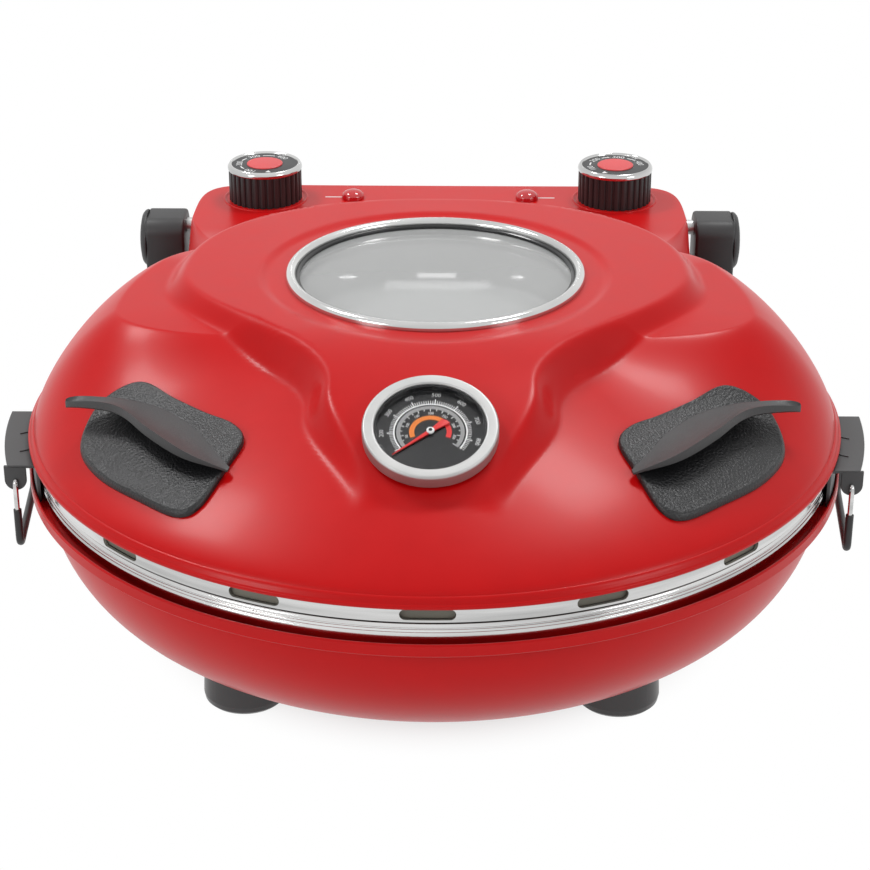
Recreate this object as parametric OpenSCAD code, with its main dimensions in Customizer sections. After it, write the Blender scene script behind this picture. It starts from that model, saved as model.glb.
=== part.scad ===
// Countertop electric pizza cooker: a round base with a baking stone and a
// domed lid with a viewing window, hinged at the rear.
// Frame: millimetres, +Z up, front towards -Y, origin in the middle of the
// outline at the plane of the feet. The modules below are drawn about the axis
// of the round base, which lies in front of that, and moved at the end.

/* [Base] */
// Height of the feet below the bowl
foot_h = 11.5; // [8:0.5:18]
// Radius of the bowl's wall
bowl_r = 184; // [176:1:186]
// Radius of the bowl's rounded corner
bowl_round = 66; // [58:1:72]
// Thickness of the bowl's steel
bowl_wall = 1.5; // [1.2:0.1:2]
// How far the bowl's lip stands out past its wall
lip_out = 6.5; // [5:0.5:8]
// Height of the bowl's lip
lip_h = 6; // [5:0.5:7]
// Radius of each foot
foot_r = 19; // [16:0.5:22]
// Distance of the feet from the cooker's axis
foot_reach = 128; // [120:1:130]
// Direction of the feet, from the side towards the front and rear
foot_turn = 49; // [44:1:54]
// Bore of the cord gland
gland_bore_r = 3.75; // [3:0.25:4.5]

/* [Cooking] */
// Radius of the baking stone
stone_r = 158; // [150:1:160]
// Thickness of the baking stone
stone_t = 11; // [9:0.5:12]
// Radius of the heating elements' tube
element_tube_r = 3.4; // [3:0.1:4]
// Radius of the lower heating element's ring
lower_ring_r = 104; // [90:1:115]
// Radius of the upper heating element's ring
upper_ring_r = 124; // [118:1:128]

/* [Lid] */
// How far the lid's rim stands out past the bowl's wall
lid_out = 6; // [4:0.5:8]
// Height of the dome at its sides
dome_h = 52; // [48:1:56]
// Height of the raised centre
crown_h = 60; // [57:0.5:64]
// Height of the control panel
panel_h = 39.5; // [36:0.5:43]
// Thickness of the lid's wall
lid_wall = 2; // [1.6:0.1:2.5]
// Height of the ventilated ring under the lid
vent_ring_h = 7.5; // [6.5:0.5:9]
// Height of the trim ring on the base
trim_ring_h = 11.5; // [10:0.5:12]
// Gap between the two rings when the lid is shut
ring_gap = 1.2; // [0.8:0.1:1.6]
// Number of ventilation slots
vent_count = 16; // [12:1:20]
// Length of a ventilation slot
vent_len = 23; // [18:1:26]
// Width of a ventilation slot
vent_w = 4.8; // [4:0.2:5]

/* [Window] */
// Distance of the window's centre behind the cooker's axis
win_y = 28.5; // [24:0.5:32]
// Outer radius of the window's bezel
win_r = 71; // [66:1:74]
// Width of the window's bezel
win_rim_w = 5; // [4:0.5:6]
// Thickness of the outer glass
glass_t = 4; // [3:0.5:5]

/* [Controls] */
// Distance from the middle to each knob's axis
knob_x = 94.2; // [88:0.2:98]
// Radius of a knob
knob_r = 19.6; // [17:0.2:21]
// Height of a knob above the panel
knob_h = 20.3; // [17:0.1:23]
// Number of ribs round a knob
knob_ribs = 32; // [24:1:40]
// Radius of a knob's shaft
shaft_r = 3; // [2.5:0.25:4]
// Distance from the middle to each lamp
lamp_x = 47; // [40:1:55]
// Radius of a lamp's lens
lamp_r = 6; // [5:0.5:7]
// Radius of the thermometer's bezel
gauge_r = 28.9; // [26:0.1:31]
// Height of the thermometer's bezel
gauge_h = 6.5; // [5:0.5:8]
// Forward tilt of the thermometer
gauge_tilt = 24; // [20:1:28]

/* [Hinge] */
// Distance of the hinge pins behind the lid's round rim
hinge_back = 5; // [4:0.5:7]
// Height of the hinge pins above the lid's rim
hinge_up = 22; // [20:0.5:24]
// Radius of the hinge pins
pin_r = 4; // [3.5:0.25:4.5]
// Distance from the middle to each tower's inner face
tower_x = 138; // [137:0.5:141]
// Width of each hinge tower
tower_w = 21; // [18:0.5:24]

/* [Handles] */
// Thickness of a handle's base plate
plate_t = 3; // [2.5:0.25:4]
// Thickness of a handle's grip
grip_t = 3; // [2.5:0.25:4]
// Height of the grip's free edge above the lid
grip_rise = 18; // [15:0.5:21]
// Radius of the carrying bails' wire
bail_wire_r = 1.2; // [1:0.1:1.4]
// Length that the bails hang below their lugs
bail_drop = 32; // [26:1:36]

/* [Hidden] */
$fn = 96;

fit = 0.05;      // running clearance round a shaft
seat = 0.05;     // clearance between pieces that are screwed together

// Levels of the base, from the feet up
bowl_z = foot_h;
bowl_top = bowl_z + bowl_round;
lip_z = bowl_top - 2;
lip_r = bowl_r + lip_out;
trim_z = lip_z + bowl_wall;
trim_top = trim_z + trim_ring_h;
rim_z = trim_top + ring_gap + vent_ring_h;
trim_r = bowl_r + 2.3;
sheet_t = 1;
pan_flange_z = trim_top - bowl_wall - sheet_t;
pan_ledge_z = trim_top - 3 - stone_t;
pan_floor_z = pan_ledge_z - 28;
stone_z = pan_ledge_z + sheet_t;
lower_ring_z = pan_floor_z + sheet_t + 9;

// Reach of the lid and levels of its parts
lid_r = bowl_r + lid_out;
hinge_y = lid_r + hinge_back;
vent_r = trim_r;
vent_z = rim_z - vent_ring_h;
vent_t = 1.3;
vent_lap = 1.9;
wing_half = 134;
wing_rear = lid_r + 26;
cover_front = wing_rear - 66;
wing_corner_p = 14;
wing_flare_p = 24;
rim_lip_h = 5.2;
rim_lip_w = 3;
wing_lip_w = 1.6;
panel_z = rim_z + panel_h;
crown_z = rim_z + crown_h;
upper_ring_z = rim_z + 12;
reflector_top = 27;
hinge_z = rim_z + hinge_up;
knob_y = wing_rear - 25.5;
gauge_y = 72.7 - lid_r;
gauge_rise = 48;
gauge_pos = [0, gauge_y, rim_z + gauge_rise];
gauge_dial_r = 0.82 * gauge_r;

// ---------------------------------------------------------------- helpers

function ease(t) = let (c = max(0, min(1, t))) c * c * (3 - 2 * c);
function blend(a, b, t) = a + (b - a) * t;

module tube(r_out, r_in, h) {
    difference() {
        cylinder(r = r_out, h = h);
        translate([0, 0, -1]) cylinder(r = r_in, h = h + 2);
    }
}

module obround(length, width) {
    // Centred, with its length along X
    square([length - width, width], center = true);
    for (s = [-1, 1]) translate([s * (length - width) / 2, 0]) circle(d = width, $fn = 48);
}

module along_x(x, y, z) {
    translate([x, y, z]) rotate([0, 90, 0]) children();
}

// A skin with one closed loop of rings: grid[i][j] is point j of ring i
module ring_skin(grid) {
    rings = len(grid);
    n = len(grid[0]);
    points = [for (ring = grid) each ring];
    faces = [
        for (i = [0 : rings - 1], j = [0 : n - 1])
            let (i2 = (i + 1) % rings, j2 = (j + 1) % n,
                 a = i * n + j, b = i * n + j2, c = i2 * n + j2, d = i2 * n + j)
            each [[a, b, c], [a, c, d]]
    ];
    polyhedron(points = points, faces = faces, convexity = 6);
}

// ------------------------------------------------------- form of the lid

// Distances from the window's axis to the rim, in direction a
function round_reach(a) = sqrt(pow(lid_r, 2) - pow(win_y * cos(a), 2)) - win_y * sin(a);
function wing_reach(a) = sin(a) < 0.02 ? 0 :
    pow(pow(sin(a) / (wing_rear - win_y), wing_corner_p)
        + pow(abs(cos(a)) / wing_half, wing_corner_p), -1 / wing_corner_p);
function rim_reach(a) =
    pow(pow(round_reach(a), wing_flare_p) + pow(wing_reach(a), wing_flare_p), 1 / wing_flare_p);
function rim_y(a) = win_y + rim_reach(a) * sin(a);

// The shoulder is steep at the sides, low and long in front, tight on the wing
front_start = -10;
front_run = 130;
wing_start = wing_rear - 101;
wing_run = 50;
panel_start = wing_rear - 156;
panel_run = 80;
side_shoulder = [40, 1.3];
front_shoulder = [138, 1.27];
wing_shoulder = [4, 2];
function at_front(a) = ease((front_start - rim_y(a)) / front_run);
function at_wing(a) = ease((rim_y(a) - wing_start) / wing_run);
function shoulder(a) = blend(blend(side_shoulder, front_shoulder, at_front(a)), wing_shoulder, at_wing(a));
function lip_w(a) = blend(rim_lip_w, wing_lip_w, at_wing(a));
function dome_top(a, y) =
    blend(blend(dome_h, dome_h - 2, at_front(a)), panel_h, ease((y - panel_start) / panel_run));

function dome(a, rho, y) =
    let (shape = shoulder(a), n = shape[1],
         u = max(0, min(1, (rim_reach(a) - rho - lip_w(a)) / shape[0])))
    rim_lip_h + (dome_top(a, y) - rim_lip_h) * pow(1 - pow(1 - u, n), 1 / n);

// The raised centre: a round part about the window and a neck that runs forward
crown_half = 118;
neck_half = 44;
neck_y = -85;
crown_rear = 103;
crown_step = 11;
crown_p = 2.3;
bend_start = -38;
crown_bend = 0.003;
dish_depth = 1.2;
dish_reach = 13;
dish_run = 5;
function neck_t(y) = (y - neck_y) / (win_y - neck_y);
function crown_edge(y) = blend(neck_half, crown_half, ease(neck_t(y)));
function crown_slope(y) =
    let (t = max(0, min(1, neck_t(y)))) 6 * t * (1 - t) * (crown_half - neck_half) / (win_y - neck_y);
function crown_inset(x, y) = y < win_y
    ? (crown_edge(y) - abs(x)) / sqrt(1 + pow(crown_slope(y), 2))
    : crown_half * (1 - pow(pow(abs(x) / crown_half, crown_p)
        + pow((y - win_y) / crown_rear, crown_p), 1 / crown_p));
function crown_sheet(y) = crown_h - crown_bend * pow(max(0, bend_start - y), 2);

function lid_height(a, rho) =
    let (x = rho * cos(a), y = win_y + rho * sin(a),
         d = dome(a, rho, y),
         lift = max(0, crown_sheet(y) - d) * ease(1 + crown_inset(x, y) / crown_step),
         dish = dish_depth * ease((win_r + dish_reach - rho) / dish_run))
    rim_z + d + lift - dish;

function lid_point(a, rho, h) = [rho * cos(a), win_y + rho * sin(a), h];
function lid_slope(a, rho) = (lid_height(a, rho - 0.2) - lid_height(a, rho + 0.2)) / 0.4;
function under_point(a, rho, depth) =
    let (m = lid_slope(a, rho), n = sqrt(1 + m * m))
    lid_point(a, rho - depth * m / n, lid_height(a, rho) - depth / n);

// Height of the lid over the point x, y
function lid_over(x, y) = lid_height(atan2(y - win_y, x), norm([x, y - win_y]));

lid_steps = 96;
// Inset and height of each ring on the rolled lip, outside and inside
rim_lip = [[0, 0], [0, 2.6], [1.2, 4.6]];
lip_inside = [[0, 0], [1.8, 2.6]];
window_hole = win_r - win_rim_w + 1;
shoulder_u = [0.01, 0.04, 0.1, 0.19, 0.31, 0.46, 0.65, 0.85, 1];
middle_v = [0.14, 0.28, 0.42, 0.56, 0.7, 0.85, 1];
function u_rho(a, u) = rim_reach(a) - lip_w(a) - u * min(shoulder(a)[0], rim_reach(a) - window_hole - 8);
// Outer and inner edge of the shallow dish round the window
function dish_out(a) = min(win_r + dish_reach, blend(u_rho(a, 1), window_hole, 0.2));
function dish_in(a) = min(win_r + dish_reach - dish_run, blend(u_rho(a, 1), window_hole, 0.6));
function middle_radii(a) = concat([for (v = middle_v) blend(u_rho(a, 1), dish_out(a), v)], [dish_in(a), window_hole]);

module lid_skin() {
    angles = [for (i = [0 : lid_steps - 1]) i * 360 / lid_steps];
    middle_count = len(middle_v) + 2;
    outer = concat(
        [for (lip = rim_lip) [for (a = angles) lid_point(a, rim_reach(a) - lip[0], rim_z + lip[1])]],
        [for (u = shoulder_u) [for (a = angles) lid_point(a, u_rho(a, u), lid_height(a, u_rho(a, u)))]],
        [for (k = [0 : middle_count - 1]) [for (a = angles) let (rho = middle_radii(a)[k]) lid_point(a, rho, lid_height(a, rho))]]
    );
    under = concat(
        [for (lip = lip_inside) [for (a = angles) lid_point(a, rim_reach(a) - lid_wall - lip[0], rim_z + lip[1])]],
        [for (u = shoulder_u) [for (a = angles) under_point(a, u_rho(a, u), lid_wall)]],
        [for (k = [0 : middle_count - 1]) [for (a = angles)
            k < middle_count - 1 ? under_point(a, middle_radii(a)[k], lid_wall)
                                 : lid_point(a, window_hole, lid_height(a, window_hole) - lid_wall)]]
    );
    ring_skin(concat(under, [for (i = [len(outer) - 1 : -1 : 0]) outer[i]]));
}

module at_gauge() {
    translate(gauge_pos) rotate([gauge_tilt, 0, 0]) children();
}

knob_seat_r = knob_r + 2.2;
bushing_r = 5;
lamp_neck_r = 4;
gauge_neck_r = gauge_r - 3.5;
wall_hole_r = pin_r + 1.5;

module lid_shell() {
    color("firebrick") difference() {
        lid_skin();
        for (s = [-1, 1]) {
            translate([s * knob_x, knob_y, panel_z - 1]) cylinder(r = knob_seat_r, h = 5);
            translate([s * knob_x, knob_y, panel_z - 10]) cylinder(r = bushing_r + seat, h = 20);
            translate([s * lamp_x, knob_y, panel_z - 10]) cylinder(r = lamp_neck_r + seat, h = 20);
            along_x(s * wing_half - 10, hinge_y, hinge_z) cylinder(r = wall_hole_r, h = 20);
        }
        at_gauge() translate([0, 0, -gauge_h - 12]) cylinder(r = gauge_neck_r + seat, h = 30);
        for (s = [0, 1]) mirror([s, 0, 0]) at_handle_screws()
            translate([0, 0, -8]) cylinder(r = screw_r + seat, h = 12, $fn = 32);
    }
}

// ------------------------------------------------------------------- base

bowl_flat_r = bowl_r - bowl_round;

module bowl_profile(inset) {
    // Half of the bowl's section, drawn in from its outer face by inset
    translate([0, bowl_z + inset]) square([bowl_flat_r, bowl_round - inset]);
    intersection() {
        translate([bowl_flat_r, bowl_top]) circle(r = bowl_round - inset);
        translate([bowl_flat_r, bowl_z]) square([bowl_round, bowl_round]);
    }
}

module bowl_solid() {
    rotate_extrude() bowl_profile(0);
}

module bowl_and_rim_solid() {
    bowl_solid();
    translate([0, 0, lip_z - seat]) cylinder(r = lip_r + seat, h = rim_z - lip_z);
}

module at_feet() {
    for (a = [foot_turn, 180 - foot_turn, 180 + foot_turn, -foot_turn])
        rotate([0, 0, a]) translate([foot_reach, 0, 0]) children();
}

gland_z = bowl_top - 27;
gland_body_r = gland_bore_r + 3.8;
gland_nut_r = gland_body_r + 3;
gland_y = bowl_r - 6;
nut_reach = 14;
screw_r = 2;
screw_head_r = 4;
screw_head_h = 3;

module base_bowl() {
    color("red") difference() {
        rotate_extrude() {
            difference() {
                bowl_profile(0);
                bowl_profile(bowl_wall);
                translate([0, trim_z]) square([bowl_r + 1, bowl_round]);
            }
            translate([bowl_r - bowl_wall, lip_z]) square([lip_out + bowl_wall, bowl_wall]);
            translate([lip_r - bowl_wall, lip_z]) square([bowl_wall, lip_h]);
        }
        at_feet() cylinder(r = screw_r + seat, h = bowl_z + 10);
        translate([0, bowl_r + 5, gland_z]) rotate([90, 0, 0]) cylinder(r = gland_body_r + seat, h = 30);
        at_tower_screws() translate([0, 0, -20]) cylinder(r = screw_r + seat, h = 30);
    }
}

module inner_pan() {
    // The bright pan under the stone: rim flange, stone ledge and floor
    flange_r = trim_r - 1.4;
    ledge_r = stone_r + 5;
    wall_r = blend(ledge_r, flange_r, 0.18);
    floor_r = stone_r - 12;
    color("silver") difference() {
        rotate_extrude() polygon([
            [0, pan_floor_z], [floor_r, pan_floor_z], [floor_r, pan_ledge_z],
            [ledge_r, pan_ledge_z], [wall_r, pan_flange_z], [flange_r, pan_flange_z],
            [flange_r, pan_flange_z + sheet_t], [wall_r - 1, pan_flange_z + sheet_t],
            [ledge_r - 1, stone_z], [floor_r - 1, stone_z],
            [floor_r - 1, pan_floor_z + sheet_t], [0, pan_floor_z + sheet_t]
        ]);
        lower_leg_places() translate([0, 0, pan_floor_z - 1]) cylinder(r = element_tube_r + 0.6, h = 4);
    }
}

module base_trim_ring() {
    // Polished band with two rolled steps, standing in the bowl's gutter
    band_r = trim_r - 1.3;
    color("gainsboro") rotate_extrude() polygon([
        [band_r, trim_z + seat], [trim_r, trim_z + seat], [trim_r, trim_top - 5],
        [trim_r - 0.6, trim_top - 4.6], [trim_r - 0.6, trim_top - 3.4], [trim_r, trim_top - 3],
        [trim_r, trim_top - 1.2], [trim_r - 0.9, trim_top], [band_r - 8, trim_top],
        [band_r - 8, trim_top - bowl_wall], [band_r, trim_top - bowl_wall]
    ]);
}

module foot() {
    color("dimgray") difference() {
        rotate_extrude() polygon([
            [0, 0], [foot_r - 2, 0], [foot_r - 0.5, 1.5], [foot_r, 4], [foot_r - 1, bowl_z + 14], [0, bowl_z + 14]
        ]);
        translate([-foot_reach, 0, 0]) bowl_solid();
        translate([0, 0, -1]) cylinder(r = 5, h = 6);
        cylinder(r = screw_r + seat, h = bowl_z + 20);
    }
}

module foot_at(a) {
    rotate([0, 0, a]) translate([foot_reach, 0, 0]) foot();
}

module foot_screws() {
    // The nut lies on the bowl's curved floor
    nut_z = bowl_top + 2 * seat
        - sqrt(pow(bowl_round - bowl_wall, 2) - pow(max(0, foot_reach + screw_head_r - bowl_flat_r), 2));
    color("silver") at_feet() {
        translate([0, 0, 2.6]) cylinder(r = screw_head_r, h = 2.4);
        translate([0, 0, 4]) cylinder(r = screw_r, h = nut_z);
        translate([0, 0, nut_z]) cylinder(r = screw_head_r, h = 2.6, $fn = 6);
    }
}

// A tubular element: a ring open at the rear with two upright legs
leg_angle = 8;

module element_ring(ring_r, leg_h) {
    rotate([0, 0, 90 + leg_angle]) rotate_extrude(angle = 360 - 2 * leg_angle)
        translate([ring_r, 0]) circle(r = element_tube_r, $fn = 32);
    for (s = [-1, 1]) rotate([0, 0, 90 + s * leg_angle]) translate([ring_r, 0, 0]) {
        sphere(r = element_tube_r, $fn = 32);
        translate([0, 0, min(0, leg_h)]) cylinder(r = element_tube_r, h = abs(leg_h), $fn = 32);
    }
}

module lower_leg_places() {
    for (s = [-1, 1]) rotate([0, 0, 90 + s * leg_angle]) translate([lower_ring_r, 0, 0]) children();
}

module lower_element() {
    color("slategray") translate([0, 0, lower_ring_z]) element_ring(lower_ring_r, -22);
}

module clip_post(h) {
    // Stands on z = 0 and carries a tube whose axis is at height h
    difference() {
        translate([-4, -3, 0]) cube([8, 6, h]);
        translate([0, -10, h]) rotate([-90, 0, 0]) cylinder(r = element_tube_r + seat, h = 20, $fn = 32);
    }
}

module lower_element_clips() {
    post_h = lower_ring_z - pan_floor_z - sheet_t;
    color("silver") for (a = [0, 135, 180, 270])
        rotate([0, 0, a]) translate([lower_ring_r, 0, pan_floor_z + sheet_t]) clip_post(post_h);
}

module terminal_block() {
    block_z = pan_floor_z - 12;
    color("ivory") difference() {
        translate([-24, lower_ring_r - 8, block_z]) cube([48, 16, 12 - seat]);
        lower_leg_places() translate([0, 0, block_z - 1]) cylinder(r = element_tube_r + seat, h = 20, $fn = 32);
    }
}

module thermal_cutout() {
    color("silver") translate([-46, 62, pan_floor_z - 7]) {
        cylinder(r = 9, h = 7 - seat);
        translate([0, 0, -4]) cylinder(r = 6, h = 5);
        for (s = [-1, 1]) translate([s * 4 - 0.4, -3, -11]) cube([0.8, 6, 8]);
    }
}

module along_gland(y) {
    translate([0, y, gland_z]) rotate([-90, 0, 0]) children();
}

module cord_gland() {
    color("black") difference() {
        union() {
            along_gland(gland_y - 9) cylinder(r = gland_body_r, h = 20);
            // The flange outside and the nut inside, both fitted to the curved wall
            difference() {
                along_gland(gland_y - 3) cylinder(r = gland_nut_r, h = 9);
                bowl_solid();
            }
            intersection() {
                along_gland(gland_y - nut_reach) cylinder(r = gland_nut_r, h = nut_reach);
                rotate_extrude() bowl_profile(bowl_wall + seat);
            }
        }
        along_gland(gland_y - 20) cylinder(r = gland_bore_r, h = 40);
    }
}

// --------------------------------------------- side brackets and their bails

bracket_in_r = trim_r + 0.9;
bracket_w = 13.8;
bracket_r = bracket_in_r + bracket_w;
bracket_front_y = -57.5;
bracket_rear_y = 1.3;
bracket_z = rim_z - 3;
bracket_t = 1.5;
bail_front = [-bracket_in_r - 2.2, bracket_front_y];
bail_rear = [-bracket_in_r - 6.2, bracket_rear_y];
bail_z = rim_z - 9;
bail_turn = atan2(bail_front[0] - bail_rear[0], bail_rear[1] - bail_front[1]);
bail_half = norm(bail_rear - bail_front) / 2;
bail_mid = (bail_front + bail_rear) / 2;

module in_bail_frame() {
    // Y runs along the bail's axis
    translate([bail_mid[0], bail_mid[1], bail_z]) rotate([0, 0, bail_turn]) children();
}

module bail_bore() {
    in_bail_frame() translate([0, -bail_half - 10, 0]) rotate([-90, 0, 0])
        cylinder(r = bail_wire_r + fit, h = 2 * bail_half + 20, $fn = 32);
}

module lug(x, y) {
    // Hangs from the bracket, with a round end about the bail's bore
    translate([x, y, 0]) rotate([90, 0, 0]) translate([0, 0, -bracket_t / 2]) linear_extrude(bracket_t) {
        translate([0, bail_z]) circle(r = 5);
        translate([-5, bail_z]) square([10, bracket_z + bracket_t - bail_z]);
    }
}

module side_bracket() {
    span = bracket_rear_y - bracket_front_y;
    color("dimgray") difference() {
        union() {
            intersection() {
                union() {
                    translate([0, 0, bracket_z]) tube(bracket_r, bracket_in_r, bracket_t);
                    translate([0, 0, trim_z + seat])
                        tube(bracket_in_r + bracket_t, bracket_in_r, bracket_z + bracket_t - trim_z - seat);
                }
                translate([-bracket_r, bracket_front_y, 0]) cube([50, span, rim_z]);
            }
            lug(bail_front[0], bracket_front_y + bracket_t / 2);
            lug(bail_rear[0], bracket_rear_y - bracket_t / 2);
            for (t = [0.3, 0.62]) translate([-bracket_r + 5, blend(bracket_front_y, bracket_rear_y, t), 0])
                translate([0, 0, bracket_z + bracket_t]) cube([6, 1.2, 0.8]);
        }
        bail_bore();
    }
}

bail_run = bail_half + 1.6;
sleeve_r = bail_wire_r + 0.5;
sleeve_top = 14;

module wire_leg(r, side, top) {
    // A straight leg from the height -top down to a round corner
    translate([0, side * bail_run, -bail_drop]) {
        cylinder(r = r, h = bail_drop - top, $fn = 32);
        sphere(r = r, $fn = 32);
    }
}

module bail_path(r, top) {
    // The hanging U below the height -top
    for (side = [-1, 1]) wire_leg(r, side, top);
    translate([0, -bail_run, -bail_drop]) rotate([-90, 0, 0]) cylinder(r = r, h = 2 * bail_run, $fn = 32);
}

module bail_wire() {
    color("silver") in_bail_frame() {
        bail_path(bail_wire_r, 0);
        for (side = [-1, 1]) translate([0, side * bail_run, 0]) {
            sphere(r = bail_wire_r, $fn = 32);
            rotate([90 * side, 0, 0]) cylinder(r = bail_wire_r, h = 5, $fn = 32);
        }
    }
}

module bail_sleeve() {
    color("black") in_bail_frame() difference() {
        bail_path(sleeve_r, sleeve_top);
        bail_path(bail_wire_r + 0.02, 0);
    }
}

// ----------------------------------------------------------------- hinge

tower_top = rim_z + 30;
tower_rear = hinge_y + 12;
tower_front = hinge_y - 19;
tower_foot_y = hinge_y - 97;
tower_bend_y = hinge_y - 45;
arm_top = trim_top - 2.5;
arm_low = rim_z - 46;
arm_x = wing_half - 24;
arm_t = 6;
arm_foot = 5;
tower_screw_angle = 38;
tower_screw_drops = [11, 23];

module at_tower_screws() {
    // Local Z runs outwards, from the bowl's wall into the tower's arm
    for (s = [0, 1], $drop = tower_screw_drops)
        mirror([s, 0, 0]) rotate([0, 0, tower_screw_angle])
            translate([bowl_r, 0, bowl_top - $drop]) rotate([0, 90, 0]) children();
}

module hinge_tower() {
    // A moulded arm from the bowl's side, with an upright block round the pin
    color("dimgray") difference() {
        union() {
            translate([tower_x + tower_w, 0, 0]) rotate([90, 0, 0]) rotate([0, -90, 0])
                linear_extrude(tower_w) mirror([1, 0]) polygon([
                    [tower_foot_y, arm_low], [tower_bend_y, arm_low], [tower_rear, rim_z - 14],
                    [tower_rear, tower_top - 6], [tower_rear - 6, tower_top],
                    [tower_front + 5, tower_top], [tower_front, tower_top - 5],
                    [tower_front, arm_top + 8], [tower_front - 8, arm_top], [tower_foot_y, arm_top]
                ]);
            along_x(tower_x + tower_w, hinge_y - 4, hinge_z - 6) cylinder(r1 = 15.5, r2 = 12, h = 4);
        }
        bowl_and_rim_solid();
        along_x(tower_x - 1, hinge_y, hinge_z) cylinder(r = pin_r + 0.02, h = 15);
        at_tower_screws() translate([0, 0, -20]) cylinder(r = screw_r + seat, h = 31);
    }
}

module hinge_pin() {
    color("silver") along_x(arm_x - 1, hinge_y, hinge_z) cylinder(r = pin_r, h = tower_x - arm_x + 14);
}

// How far the bowl's inner face lies inside its outer radius, at a depth under its top
function inner_wall(drop) = bowl_round - sqrt(pow(bowl_round - bowl_wall, 2) - pow(drop, 2));

module tower_screws() {
    color("silver") at_tower_screws() {
        head_z = -inner_wall($drop + screw_head_r) - 2 * seat;
        translate([0, 0, head_z]) cylinder(r = screw_r, h = 10 - head_z);
        translate([0, 0, head_z - screw_head_h]) cylinder(r = screw_head_r, h = screw_head_h);
    }
}

// -------------------------------------------------------- stone and lid ring

module baking_stone() {
    color("wheat") translate([0, 0, stone_z]) cylinder(r = stone_r, h = stone_t);
}

module lid_vent_ring() {
    ring_in_r = vent_r - vent_t;
    color("gainsboro") difference() {
        translate([0, 0, vent_z]) tube(vent_r, ring_in_r, vent_ring_h + vent_lap);
        for (i = [0 : vent_count - 1]) rotate([0, 0, i * 360 / vent_count - 90])
            translate([ring_in_r - 5, 0, vent_z + vent_ring_h / 2 - 0.3]) rotate([90, 0, 90])
                linear_extrude(10) obround(vent_len, vent_w);
    }
}

reflector_hole_r = window_hole - 3;
ledge_h = 22;

module upper_leg_places() {
    for (s = [-1, 1]) rotate([0, 0, 90 + s * leg_angle]) translate([upper_ring_r, 0, 0]) children();
}

module lid_reflector() {
    // A flange that lies on the vent ring, a slope, a ledge for the element and a raised top
    flange_r = vent_r - 0.6;
    flange_z = vent_lap + seat;
    slope_r = vent_r - 12.3;
    ledge_r = upper_ring_r + 10;
    top_r = upper_ring_r - 20;
    color("silver") difference() {
        translate([0, 0, rim_z]) rotate_extrude() polygon([
            [0, reflector_top - sheet_t], [top_r, reflector_top - sheet_t], [top_r + 8, ledge_h],
            [ledge_r, ledge_h], [slope_r - 4, flange_z + 3], [slope_r, flange_z], [flange_r, flange_z],
            [flange_r, flange_z + sheet_t], [slope_r + 0.5, flange_z + sheet_t],
            [slope_r - 3.3, flange_z + 4], [ledge_r + 0.5, ledge_h + sheet_t],
            [top_r + 8.5, ledge_h + sheet_t], [top_r + 0.5, reflector_top], [0, reflector_top]
        ]);
        translate([0, win_y, rim_z]) cylinder(r = reflector_hole_r - 1, h = 60);
        upper_leg_places() translate([0, 0, rim_z]) cylinder(r = element_tube_r + 0.6, h = 60);
        at_gauge() translate([0, 0, -60]) cylinder(r = stem_r + 0.8, h = 60);
    }
}

// ----------------------------------------------------------------- window

win_seat_z = crown_z - 1.2;
sleeve_out_r = window_hole - 1.5;

module at_window(z) {
    translate([0, win_y, z]) children();
}

module window_bezel() {
    color("gainsboro") at_window(win_seat_z) rotate_extrude() polygon(concat(
        [[window_hole - 3, -6.5], [window_hole - 0.1, -6.5], [window_hole - 0.1, seat], [win_r, seat]],
        [for (a = [0 : 15 : 180]) [win_r - win_rim_w / 2 + win_rim_w / 2 * cos(a), 1.2 + 2.3 * sin(a)]],
        [[win_r - win_rim_w, -5], [window_hole - 3, -5]]
    ));
}

module window_glass() {
    color("lightgray", 0.4) at_window(win_seat_z - 5 + seat)
        cylinder(r = win_r - win_rim_w - 0.1, h = glass_t);
}

module window_sleeve() {
    sleeve_h = win_seat_z - 6.6 - rim_z - reflector_top;
    color("silver") at_window(rim_z + reflector_top + seat) {
        tube(sleeve_out_r, sleeve_out_r - 1, sleeve_h);
        tube(window_hole + 3, sleeve_out_r - 1, 1);
        tube(sleeve_out_r, reflector_hole_r - 3, 1);
    }
}

module inner_glass() {
    color("lightgray", 0.4) at_window(rim_z + reflector_top + 1 + 2 * seat)
        cylinder(r = sleeve_out_r - 1.1, h = glass_t - 1);
}

module upper_element() {
    color("slategray") translate([0, 0, upper_ring_z]) element_ring(upper_ring_r, 24);
}

module upper_element_clips() {
    post_h = rim_z + ledge_h - upper_ring_z - seat;
    color("silver") for (a = [0, 135, 180, 270])
        rotate([0, 0, a]) translate([upper_ring_r, 0, rim_z + ledge_h - seat]) mirror([0, 0, 1]) clip_post(post_h);
}

// ------------------------------------------------------------ thermometer

stem_r = 3;
stem_len = 34;
staff_r = 0.9;
dial_z = -4.6;

module thermometer_case() {
    neck_h = 6;
    color("silver") at_gauge() difference() {
        union() {
            translate([0, 0, -gauge_h]) rotate_extrude() polygon([
                [0, 0], [gauge_r, 0], [gauge_r, gauge_h - 2], [gauge_r - 1.2, gauge_h - 0.4],
                [gauge_r - 2.4, gauge_h], [gauge_dial_r + 0.8, gauge_h], [gauge_dial_r, gauge_h - 0.8],
                [0, gauge_h - 0.8]
            ]);
            translate([0, 0, -gauge_h - neck_h]) cylinder(r = gauge_neck_r, h = neck_h + 1);
            translate([0, 0, -gauge_h - neck_h - stem_len]) cylinder(r = stem_r, h = stem_len + 1);
        }
        translate([0, 0, dial_z - 1.2]) cylinder(r = gauge_dial_r, h = 20);
        translate([0, 0, dial_z - 4]) cylinder(r = staff_r + fit, h = 10, $fn = 32);
    }
}

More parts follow.
